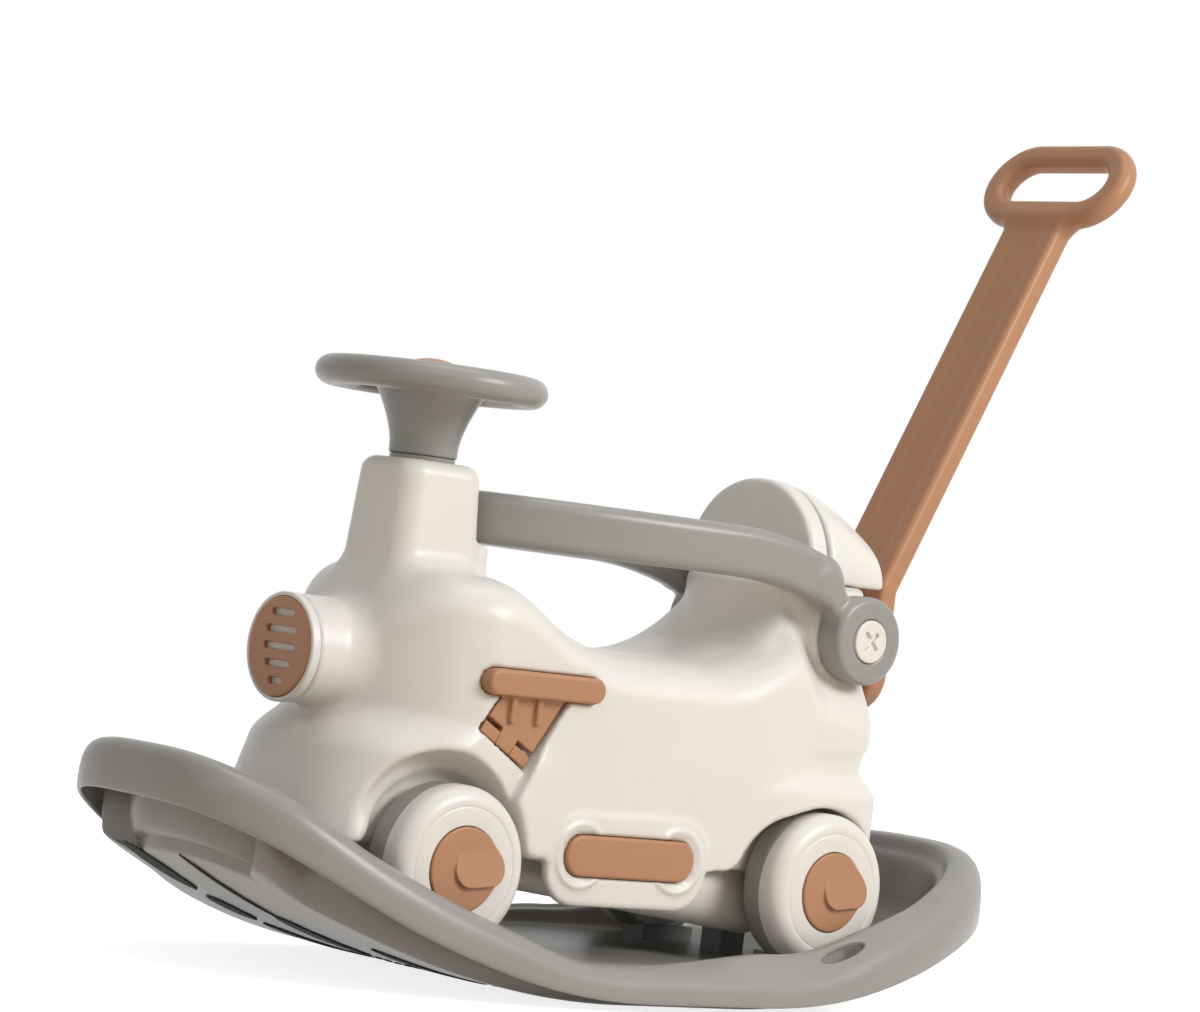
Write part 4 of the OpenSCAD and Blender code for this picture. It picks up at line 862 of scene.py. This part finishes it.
stem_span = steer_hub_r + 1
stem = mould("steering_stem_piece", steering_stem, (column_x - stem_span, -stem_span, stem_low),
             (column_x + stem_span, stem_span, stem_top), 1.8)
dress(stem, "steering", "grey", "steering_stem")


def horn_cap(x, y, z):
    reach = np.hypot(x - column_x, y)
    dome = z - (horn_seat + horn_base + horn_h - reach ** 2 / horn_curve)
    return edge(edge(reach - horn_r, dome, 3), horn_seat + horn_base - z, 1)


horn_span = horn_r + 1
horn = mould("horn_button_piece", horn_cap, (column_x - horn_span, -horn_span, horn_seat + 4),
             (column_x + horn_span, horn_span, horn_seat + 16), 1)
dress(horn, "horn", "brown", "horn_button")

# %% [markdown]
# ## Push handle
# A wide flat bar stands in its socket, leans back and ends in a loop for the hand. A shallow channel runs
# along its back and front, which keeps such a long bar stiff.

# %% Push handle
handle_x, handle_z0, bend_z = -305, 206, 311
handle_half, handle_t, handle_end, handle_top = 33, 20, -540, 730
channel_deep, channel_half = 1.6, (19, 14)
handle_lean = math.radians(26)
handle_l, loop_tilt = 378, math.radians(30)
loop_w, loop_h, loop_hole_w, loop_hole_h, loop_t = 162, 86, 116, 40, 21
loop_mid = handle_l + loop_h / 2 - 8


def handle_loop(x, y, z):
    """The hand loop in its own tilted plane, as a rounded ring."""
    centre_x = handle_x - loop_mid * math.sin(handle_lean)
    centre_z = bend_z + loop_mid * math.cos(handle_lean)
    across = (x - centre_x) * math.cos(loop_tilt) + (z - centre_z) * math.sin(loop_tilt)
    along = (z - centre_z) * math.cos(loop_tilt) - (x - centre_x) * math.sin(loop_tilt)
    outer = stadium(y, along, loop_w, loop_h)
    ring = edge(outer, np.abs(across) - loop_t / 2, 9)
    return carve(ring, stadium(y, along, loop_hole_w, loop_hole_h), 8)


def push_handle(x, y, z):
    u = (x - handle_x) * math.cos(handle_lean) + (z - bend_z) * math.sin(handle_lean)
    t = (z - bend_z) * math.cos(handle_lean) - (x - handle_x) * math.sin(handle_lean)
    upright = z < bend_z + (x - handle_x) * math.tan(handle_lean / 2)
    across = np.where(upright, x - handle_x, u)
    foot = np.hypot(y, np.minimum(z - handle_z0 - handle_half, 0)) - handle_half
    thick = np.abs(across) - handle_t / 2
    ends = ease(handle_z0 + 30, handle_z0 + 60, z) * ease(handle_l - 10, handle_l - 40, t)
    channel = channel_deep * ease(*channel_half, np.abs(y)) * ends
    bar = edge(np.maximum(foot, t - handle_l), thick + channel, 5)
    return join(bar, handle_loop(x, y, z), 12)


handle = mould("push_handle_piece", push_handle, (handle_end, -loop_w / 2, handle_z0),
               (handle_x + 11, loop_w / 2, handle_top), 2.2)
dress(handle, "handle", "brown", "push_handle")

# %% [markdown]
# ## Wheels
# Each wheel is turned: a cream shell with a round shoulder and a fine ring groove, and a grey inner half
# that rolls on the ground. The hub cap is a brown disc with a raised crank arm.

# %% Turned wheel halves
wheel_w, tyre_w, wheel_in = 40, 19, 80
axle_bore = 5.05


def turned(name, profile, centre, side, steps=128):
    """Spins a closed outline of (radius, distance outward) about a wheel's axle."""
    outline = np.array(profile)
    turn = np.arange(steps) * 2 * math.pi / steps
    x = outline[None, :, 0] * np.cos(turn)[:, None]
    z = outline[None, :, 0] * np.sin(turn)[:, None]
    y = np.broadcast_to(outline[None, :, 1], x.shape)
    points = np.stack([x, y, z], -1).reshape(-1, 3) + np.array([0, wheel_in, 0])
    points[:, 1] *= side
    count = len(outline)
    row, column = np.meshgrid(np.arange(steps), np.arange(count), indexing="ij")
    after, beside = (row + 1) % steps, (column + 1) % count
    faces = np.stack([row * count + column, row * count + beside,
                      after * count + beside, after * count + column], -1).reshape(-1, 4)
    if side < 0:
        faces = faces[:, ::-1]
    return mesh_object(name, points * MM + np.array(centre), faces.tolist())


def arc(centre_r, centre_h, radius, start, end, steps=10):
    """Points of a round corner in a turned outline."""
    angles = np.radians(np.linspace(start, end, steps))
    return [(centre_r + radius * math.cos(a), centre_h + radius * math.sin(a)) for a in angles]


shell_profile = (
    [(axle_bore, tyre_w), (wheel_r - 5, tyre_w), (wheel_r - 0.8, tyre_w)]
    + arc(wheel_r - 1, tyre_w + 1.2, 1, -60, 0, 4)
    + arc(wheel_r - 13, wheel_w - 13, 13, 0, 82, 16)
    + [(48.4, wheel_w), (47.7, wheel_w - 0.2), (47, wheel_w - 0.7), (46.3, wheel_w - 0.2), (45.6, wheel_w)]
    + arc(33.6, wheel_w - 1, 1, 90, 180, 5)
    + [(32.6, wheel_w - 3), (13, wheel_w - 3), (13, 33), (axle_bore, 33)])
tyre_profile = (
    [(axle_bore, 0), (9, 0), (9, 3), (wheel_r - 8, 3)]
    + arc(wheel_r - 5, 3, 3, 200, 300, 5)
    + arc(wheel_r - 3.5, 3.5, 3.5, -60, 0, 6)
    + arc(wheel_r - 1, tyre_w - 1.2, 1, 0, 60, 4)
    + [(wheel_r - 1.2, tyre_w - 0.1), (axle_bore, tyre_w - 0.1)])
corners = {"fl": (front_axle, 1), "fr": (front_axle, -1), "rl": (rear_axle, 1), "rr": (rear_axle, -1)}
for corner, (axle, side) in corners.items():
    centre = (axle.x, 0, axle.z)
    shell = turned("wheel_shell_piece_" + corner, shell_profile, centre, side)
    dress(shell, "wheel_" + corner, "cream", "wheel_shell_" + corner)
    tyre = turned("wheel_tyre_piece_" + corner, tyre_profile, centre, side)
    dress(tyre, "wheel_" + corner, "grey", "wheel_tyre_" + corner)

# %% Hub caps
cap_r, lobe_r, lobe_out = 32, 14, 37
cap_face = wheel_in + wheel_w
lobe_turn = math.radians(6)


def hub_cap(x, y, z):
    """Rear left disc with a lobe towards the rear, whose top slopes up to its lower edge."""
    u, v = -x - half_base, z - wheel_r
    along = u * math.cos(lobe_turn) + v * math.sin(lobe_turn)
    across = v * math.cos(lobe_turn) - u * math.sin(lobe_turn)
    outline = join(np.hypot(u, v) - cap_r, np.hypot(along - lobe_out + lobe_r, across) - lobe_r, 6)
    disc = edge(outline, slab(y, cap_face - 2.9, cap_face + 1.6), 1.2)
    middle = np.clip(along, 4, lobe_out - lobe_r)
    top = cap_face + 3.6 - 2.3 * across / lobe_r
    lobe = edge(np.hypot(along - middle, across) - lobe_r, np.maximum(y - top, cap_face - y), 1.2)
    return join(disc, lobe, 0.8)


cap = mould("hub_cap_piece_rl", hub_cap, (-half_base - 42, cap_face - 3, wheel_r - 33),
            (-half_base + 33, cap_face + 6, wheel_r + 33), 0.9)
for corner, (axle, side) in corners.items():
    copy = cap.data.copy()
    copy.transform(Matrix.Translation(Vector((axle.x - rear_axle.x, 0, 0))))
    if side < 0:
        copy.transform(Matrix.Scale(-1, 4, Vector((0, 1, 0))))
        copy.flip_normals()
    dress(link("hub_cap_piece_of_" + corner, copy), "wheel_" + corner, "brown", "hub_cap_" + corner)
bpy.data.objects.remove(cap)

# %% [markdown]
# ## Rocking tray
# The tray is a shallow boat: a floor that curves up towards both ends, a wall, and a broad rolled rim that
# is open underneath. Every piece of it follows the same rounded outline, drawn in from the edge by some
# distance, so one skin is swept from the middle of the floor over the rim and back under the keel.

# %% Outline and heights of the tray
tray_front, tray_rear, tray_half, tray_power = 446, 390, 172, 3.1
keel_r, keel_flat = 700, 60
lip_r, lip_level, lip_lift, lift_span = 550, 120, 6, (380, 200)
rim_h, rim_slope, bowl_start, bowl_end = 34, 0.44, 90, 170
swell_h, swell_rise, swell_fall = 13, (-207, -70), (114, -16)
sag, sag_rear, sag_front = 10, (140, 270), (410, 300)
floor_t, strip_t = 8, 1.2
pan_z, nose_back, nose_span = 30, 20, (280, 400)
bulge_x, bulge_l = 375, 12
wall_d, floor_d, rim_wall = 36, 42, 4
slot_l, slot_w, slot_x, slot_d = 50, 12, 157, 17


def tray_outline(turn, inset):
    """Points of the outline, drawn in by an inset."""
    c, s = np.cos(turn), np.sin(turn)
    reach = np.where(c > 0, tray_front, tray_rear) - inset
    power = 2 / tray_power
    return reach * np.sign(c) * np.abs(c) ** power, (tray_half - inset) * np.sign(s) * np.abs(s) ** power


def keel(x):
    return strip_t + rise(np.abs(x) - keel_flat, keel_r)


def lip(x):
    """Lower edge of the rim, which levels out at the nose and the tail."""
    reach = np.where(x > 0, tray_front, tray_rear) - 13
    curve = rise(soft_low(np.abs(x), reach, lip_level) - keel_flat, lip_r)
    return strip_t + curve + lip_lift * ease(*lift_span, np.abs(x))


def swell(x):
    """Extra height of the rim's inner half beside the hand slots."""
    behind = -x - slot_x
    return swell_h * ease(*swell_rise, behind) * ease(*swell_fall, behind)


def crest(x):
    """Height of the rim, which sags a little on its way up to the nose."""
    u = np.abs(x)
    bend = rim_slope * (u - bowl_start) ** 2 / (2 * (bowl_end - bowl_start))
    slope = rim_slope * (u - (bowl_start + bowl_end) / 2)
    bowl = np.where(u < bowl_start, 0, np.where(u < bowl_end, bend, slope))
    return rim_h + bowl + swell(x) - sag * ease(*sag_rear, x) * ease(*sag_front, x)


# %% The tray's skin
ring_turns = np.linspace(0, 2 * math.pi, 400, endpoint=False)


def pan(x):
    """Upper face of the floor, a level pan under the wheels that runs into the keel's curve at both ends."""
    return -soft_low(-keel(x) - floor_t, np.full_like(x, -pan_z), 16)


def floor_ring(share, height, inset=floor_d + 3, back=0.0):
    x, y = tray_outline(ring_turns, inset)
    x, y = (x - back * ease(*nose_span, x)) * share, y * share
    return np.stack([x, y, height(x)], 1)


def rim_ring(inset, share, extra=0.0):
    """A ring at a share of the height between the rim's lower edge and its crest."""
    x, y = tray_outline(ring_turns, inset)
    low, high = lip(x), crest(x) - swell(x)
    return np.stack([x, y, low + (high - low) * share + swell(x) * min(inset / 26, 1) ** 1.5 + extra], 1)


def wall_ring(inset, share, extra=0.0):
    """A ring of the inner wall, at a share of the height between the pan and the crest."""
    x, y = tray_outline(ring_turns, inset)
    return np.stack([x, y, pan(x) + (crest(x) - pan(x)) * share + extra], 1)


def hull_ring(inset, share, extra, bulge):
    """A ring of the hull's outer wall, drawn back under the nose, with a bulge at each front corner."""
    corner = np.exp(-((tray_outline(ring_turns, inset)[0] - bulge_x) / bulge_l) ** 2)
    x, y = tray_outline(ring_turns, inset - bulge * corner)
    x = x - nose_back * ease(*nose_span, x) * (1 - corner)
    low = keel(x) + floor_t
    return np.stack([x, y, low + (crest(x) - low) * share + extra], 1)


shares = np.linspace(0.04, 1, 14)
rings = [floor_ring(share, pan) for share in shares]
wall_rows = ((floor_d + 1, 0.02, 0.1), (floor_d - 1, 0.06, 0.2), (wall_d + 3, 0.2, 0.1), (wall_d + 2, 0.62),
             (wall_d + 1.2, 0.74), (wall_d + 0.4, 0.79), (wall_d - 2, 0.82), (wall_d - 4, 0.84),
             (wall_d - 5, 0.88), (wall_d - 6, 0.96))
rim_rows = ((28, 1.0), (24, 0.995), (19, 0.975), (14, 0.935), (9.5, 0.875), (5.8, 0.79), (3, 0.68),
            (1.2, 0.54), (0.3, 0.38), (0, 0.2), (0.1, 0.06), (0.8, 0.012), (2, 0), (3.2, 0.012), (4, 0.06),
            (4.4, 0.3), (5.4, 0.5), (8, 0.66, -1), (13, 0.82, -3), (20, 0.92, -rim_wall),
            (27, 0.95, -rim_wall))
hull_rows = ((wall_d - 6, 0.82, -2, 6), (wall_d - 4.5, 0.72, -2, 14), (wall_d - 3, 0.5, 0, 19),
             (wall_d - 2, 0.16, 0, 19), (wall_d - 1.4, 0, -3, 18), (wall_d - 1, 0, -5.8, 17),
             (wall_d - 0.2, 0, -7.3, 15), (wall_d + 1.6, 0, -8, 12))
for ring, rows in ((wall_ring, wall_rows), (rim_ring, rim_rows), (hull_ring, hull_rows)):
    rings += [ring(*row) for row in rows]
rings += [floor_ring(share, keel, floor_d, nose_back) for share in shares[::-1]]


def skin(name, rings):
    """Closed skin through rings, with a point in the middle of the first and the last one."""
    count = len(rings[0])
    points = np.concatenate(rings)
    poles = np.array([rings[0].mean(0), rings[-1].mean(0)])
    row, column = np.meshgrid(np.arange(len(rings) - 1), np.arange(count), indexing="ij")
    beside = (column + 1) % count
    quads = np.stack([row * count + column, (row + 1) * count + column,
                      (row + 1) * count + beside, row * count + beside], -1).reshape(-1, 4).tolist()
    turn = np.arange(count)
    beside = (turn + 1) % count
    last = (len(rings) - 1) * count
    first_fan = np.stack([turn, beside, np.full(count, len(points))], 1).tolist()
    last_fan = np.stack([last + beside, last + turn, np.full(count, len(points) + 1)], 1).tolist()
    return mesh_object(name, np.concatenate([points, poles]) * MM, quads + first_fan + last_fan)


tray = skin("tray_skin", rings)
print("tray has", len(tray.data.polygons), "faces")

# %% [markdown]
# Two hand slots go through the rim's slope near the rear. A cutter that opens out at the surface leaves a
# soft edge, and a Boolean modifier takes it away from the skin.

# %% Hand slots
def slot_cutter(name, side):
    """Oval column, square to the rim's slope, that opens out where it meets the rim's upper face."""
    outer, inner = rim_ring(14, 0.935), rim_ring(19, 0.975)
    nearest = np.argmin(np.abs(outer[:, 0] + slot_x) + 1000 * (outer[:, 1] * side < 0))
    place = (outer[nearest] * (19 - slot_d) + inner[nearest] * (slot_d - 14)) / 5
    along = outer[nearest + side] - outer[nearest - side]
    along = -along / np.linalg.norm(along)
    up = inner[nearest] - outer[nearest]
    up = up - along * up.dot(along)
    up = up / np.linalg.norm(up)
    out = np.cross(along, up) * -side
    levels = [(-30, 0), (-2.4, 0), (-1.2, 0.3), (-0.4, 0.8), (0.3, 1.6), (1, 2.8), (8, 14)]
    turn = np.linspace(0, 2 * math.pi, 64, endpoint=False)
    layers = []
    for level, grow in levels:
        u = (slot_l / 2 + grow) * np.cos(turn)
        v = (slot_w / 2 + grow) * np.sin(turn) * -side
        layers.append(place + u[:, None] * along + v[:, None] * up + level * out)
    return skin(name, layers[::-1])


for side in (1, -1):
    cutter = slot_cutter("slot_cutter", side)
    cutting = tray.modifiers.new("slot", "BOOLEAN")
    cutting.operation = "DIFFERENCE"
    cutting.solver = "EXACT"
    cutting.object = cutter
    whole = bpy.data.meshes.new_from_object(tray.evaluated_get(bpy.context.evaluated_depsgraph_get()))
    tray.modifiers.remove(cutting)
    tray.data = whole
    bpy.data.objects.remove(cutter)
print("tray with slots has", len(tray.data.polygons), "faces")
dress(tray, "rocker", "grey", "rocker_tray")

# %% [markdown]
# ## Grip pads, partly painted shade, and screws
# Two things repeat: the cross ribs of the dark rubber pads along the keel, and the screws under the body. The
# pads are partly painted shade: their dark rubber also stands in for the shade in the recesses under the keel,
# and two pads on the far side near the nose, with no twin on the near side, are painted shade along the
# hull's far edge. A geometry tree makes each of them. The pads' tree puts a row of points on the keel's curve
# and sets a rib on each, wide in the middle of a pad and narrow at its ends.


# %% Helpers for geometry trees
def new_tree(name, sizes):
    """An empty geometry tree with one named input for each size."""
    tree = bpy.data.node_groups.new(name, "GeometryNodeTree")
    tree.interface.new_socket("Geometry", in_out="OUTPUT", socket_type="NodeSocketGeometry")
    for label, kind in sizes.items():
        tree.interface.new_socket(label, in_out="INPUT", socket_type="NodeSocket" + kind)
    return tree, tree.nodes.new("NodeGroupInput").outputs, tree.nodes.new("NodeGroupOutput").inputs[0]


def grown(tree, name, body, slot, rows, *nodes):
    """Runs a tree once for each row of sizes and joins the results into one plain mesh."""
    sockets = [item for item in tree.interface.items_tree if item.in_out == "INPUT"]
    parts = []
    for sizes in rows:
        holder = link(name + "_holder", bpy.data.meshes.new(name + "_holder"))
        growth = holder.modifiers.new("growth", "NODES")
        growth.node_group = tree
        for socket, value in zip(sockets, sizes):
            growth[socket.identifier] = value
        evaluated = holder.evaluated_get(bpy.context.evaluated_depsgraph_get())
        parts.append(bpy.data.meshes.new_from_object(evaluated))
        bpy.data.objects.remove(holder)
    points = np.concatenate([[vertex.co[:] for vertex in part.vertices] for part in parts])
    starts = np.cumsum([0] + [len(part.vertices) for part in parts])
    faces = [[start + k for k in face.vertices]
             for start, part in zip(starts, parts) for face in part.polygons]
    mesh = bpy.data.meshes.new(name)
    mesh.from_pydata(points.tolist(), [], faces)
    print(name, "has", len(mesh.polygons), "faces")
    return dress(link(name, mesh), body, slot, *nodes)


def finish_tree(tree, geometry, slot, result):
    real = put(tree, "GeometryNodeRealizeInstances", Geometry=geometry)
    tree.links.new(put(tree, "GeometryNodeSetMaterial", Geometry=real, Material=finishes[slot]), result)


# %% Grip pads, partly painted shade
pad_tree, size, pad_result = new_tree("grip_pad", {
    "From": "Float", "To": "Float", "Side": "Float", "Width": "Float", "Thickness": "Float", "Ribs": "Int",
    "Keel radius": "Float", "Keel flat": "Float"})
pad_calc = functools.partial(calc, pad_tree)
share = pad_calc("DIVIDE", put(pad_tree, "GeometryNodeInputIndex"), pad_calc("SUBTRACT", size["Ribs"], 1.0))
span = pad_calc("SUBTRACT", size["To"], size["From"])
along = pad_calc("ADD", size["From"], pad_calc("MULTIPLY", span, share))
past_flat = pad_calc("SUBTRACT", pad_calc("ABSOLUTE", along), size["Keel flat"])
over = pad_calc("MAXIMUM", past_flat, 0.0)
lean = pad_calc("ARCSINE", pad_calc("DIVIDE", over, size["Keel radius"]))
height = pad_calc("MULTIPLY", size["Keel radius"], pad_calc("SUBTRACT", 1.0, pad_calc("COSINE", lean)))
middle = pad_calc("ADD", height, pad_calc("DIVIDE", size["Thickness"], 2.0))
row = put(pad_tree, "GeometryNodeMeshLine", Count=size["Ribs"])
row = put(pad_tree, "GeometryNodeSetPosition", Geometry=row,
          Position=put(pad_tree, "ShaderNodeCombineXYZ", X=along, Y=size["Side"], Z=middle))
tilt = pad_calc("MULTIPLY", pad_calc("MULTIPLY", lean, pad_calc("SIGN", along)), -1.0)
from_middle = pad_calc("SUBTRACT", pad_calc("MULTIPLY", share, 2.0), 1.0)
lens = pad_calc("SQRT", pad_calc("SUBTRACT", 1.03, pad_calc("POWER", from_middle, 2.0)))
pitch = pad_calc("DIVIDE", span, size["Ribs"])
rib = put(pad_tree, "GeometryNodeMeshCube", Size=put(
    pad_tree, "ShaderNodeCombineXYZ", X=pad_calc("MULTIPLY", pitch, 0.62), Y=size["Width"],
    Z=size["Thickness"]))
sheet = put(pad_tree, "GeometryNodeMeshCube", Size=put(
    pad_tree, "ShaderNodeCombineXYZ", X=pad_calc("MULTIPLY", pitch, 1.04), Y=size["Width"],
    Z=pad_calc("MULTIPLY", size["Thickness"], 0.5)))
joined = pad_tree.nodes.new("GeometryNodeJoinGeometry")
for shape in (rib, sheet):
    pad_tree.links.new(shape, joined.inputs[0])
pads = put(pad_tree, "GeometryNodeInstanceOnPoints", Points=row, Instance=joined.outputs[0],
           Rotation=put(pad_tree, "ShaderNodeCombineXYZ", Y=tilt),
           Scale=put(pad_tree, "ShaderNodeCombineXYZ", X=1.0, Y=lens, Z=1.0))
finish_tree(pad_tree, pads, "dark", pad_result)

# Dark pads, partly painted shade: near the nose only the far side gets pads, which paint the shade along the
# hull's far edge.
pad_and_shade_spans = [(322, 390), (262, 308), (140, 250), (12, 128), (-128, -12), (-250, -140), (-308, -262)]
pad_and_shade_rows = [(start * MM, end * MM, side * MM, 0.022, strip_t * MM, 24, keel_r * MM, keel_flat * MM)
            for start, end in pad_and_shade_spans for side in (-68, 68) if side < 0 or start < 250]
pad_and_shade_rows += [(start * MM, end * MM, 0.0, width, strip_t * MM, 40, keel_r * MM, keel_flat * MM)
             for start, end, width in ((296, 388, 0.005), (200, 293, 0.024), (-190, 190, 0.005),
                                       (-293, -200, 0.024), (-340, -296, 0.005))]
grown(pad_tree, "grip_pads_and_painted_shade", "rocker", "dark", pad_and_shade_rows, "grip_strips")

# %% Screws under the body
screw_tree, size, screw_result = new_tree("screws", {
    label: "Float" for label in ("Length", "Width", "Level", "Head", "Shank", "Depth")})
screw_places = put(screw_tree, "GeometryNodeMeshGrid", **{
    "Size X": size["Length"], "Size Y": size["Width"], "Vertices X": 2, "Vertices Y": 2})
head_low = calc(screw_tree, "MULTIPLY", size["Head"], 0.72)
head = put(screw_tree, "GeometryNodeMeshCone", **{
    "Vertices": 32, "Side Segments": 4, "Depth": 0.0025,
    "Radius Top": size["Head"], "Radius Bottom": head_low})
shank = put(screw_tree, "GeometryNodeMeshCone", **{
    "Vertices": 24, "Depth": size["Depth"], "Radius Top": size["Shank"], "Radius Bottom": size["Shank"]})
lifted = put(screw_tree, "GeometryNodeTransform", Geometry=shank, Translation=(0.0, 0.0, 0.0024))
screw = screw_tree.nodes.new("GeometryNodeJoinGeometry")
for shape in (head, lifted):
    screw_tree.links.new(shape, screw.inputs[0])
placed = put(screw_tree, "GeometryNodeInstanceOnPoints", Points=screw_places, Instance=screw.outputs[0])
placed = put(screw_tree, "GeometryNodeTransform", Geometry=placed, Translation=put(
    screw_tree, "ShaderNodeCombineXYZ", X=float(train_origin[0]), Z=size["Level"]))
finish_tree(screw_tree, placed, "steel", screw_result)
screw_low, screw_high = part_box("chassis_screws")
screw_size = screw_high - screw_low
grown(screw_tree, "screws_under_body", "train", "steel",
      [(screw_size.x - 0.01, screw_size.y - 0.01, screw_low.z, 0.005, 0.0025, screw_size.z - 0.0026)],
      "chassis_screws")

# %% [markdown]
# ## Stage and light
# A pale floor and a white surround. A large soft lamp stands to the camera's right, as in the photograph,
# where the front of the train lies in gentle shade, and a small one brightens the inside of the tray. The
# floor shines white where it is seen, straight or in a reflection, and still takes the shadow.

# %% Stage
def choose(tree, indirect, direct, output):
    """Shows one shader to the camera, mirrors and glass, and lights the object with the other."""
    rays = tree.nodes.new("ShaderNodeLightPath").outputs
    seen = calc(tree, "MAXIMUM", rays["Is Camera Ray"], rays["Is Glossy Ray"])
    seen = calc(tree, "MAXIMUM", seen, rays["Is Transmission Ray"])
    choice = put(tree, "ShaderNodeMixShader", Fac=seen, i1=indirect, i2=direct)
    feed(tree, tree.nodes[output], Surface=choice)


world = bpy.data.worlds.new("studio")
bpy.context.scene.world = world
world.use_nodes = True
sky = world.node_tree
ambient = sky.nodes["Background"]
feed(sky, ambient, Color=(1, 0.985, 0.96, 1), Strength=0.24)
white = put(sky, "ShaderNodeBackground", Color=(1, 1, 1, 1), Strength=1)
choose(sky, ambient.outputs[0], white, "World Output")

floor_size = 12
floor_mesh = bpy.data.meshes.new("floor")
half_floor = floor_size / 2
floor_mesh.from_pydata([(-half_floor, -half_floor, 0), (half_floor, -half_floor, 0),
                        (half_floor, half_floor, 0), (-half_floor, half_floor, 0)], [], [(0, 1, 2, 3)])
floor = link("floor", floor_mesh)
floor_paint, paint, floor_shader, _ = new_material("floor_paint", (0.80, 0.80, 0.80), 0.9)
glow = put(paint, "ShaderNodeEmission", Strength=0.8)
shown = put(paint, "ShaderNodeAddShader", i0=floor_shader.outputs[0], i1=glow)
warm = put(paint, "ShaderNodeBsdfDiffuse", Color=(0.80, 0.70, 0.58, 1))
choose(paint, warm, shown, "Material Output")
floor_mesh.materials.append(floor_paint)


# %% Lamps
def soft_lamp(name, place, size, power):
    data = bpy.data.lights.new(name, "AREA")
    data.shape = "DISK"
    data.size = size
    data.energy = power
    lamp = link(name, data)
    lamp.location = place
    lamp.rotation_euler = (Vector((0, 0, 0.25)) - Vector(place)).to_track_quat("-Z", "Y").to_euler()


soft_lamp("key_lamp", (-1.2, 2.7, 1.9), 1.5, 77)
soft_lamp("top_lamp", (-0.2, 0.2, 3.0), 1.8, 18)
soft_lamp("front_lamp", (3.0, 0.8, 1.2), 1.6, 7)
soft_lamp("tray_lamp", (0.9, 1.0, 1.5), 1.0, 4)
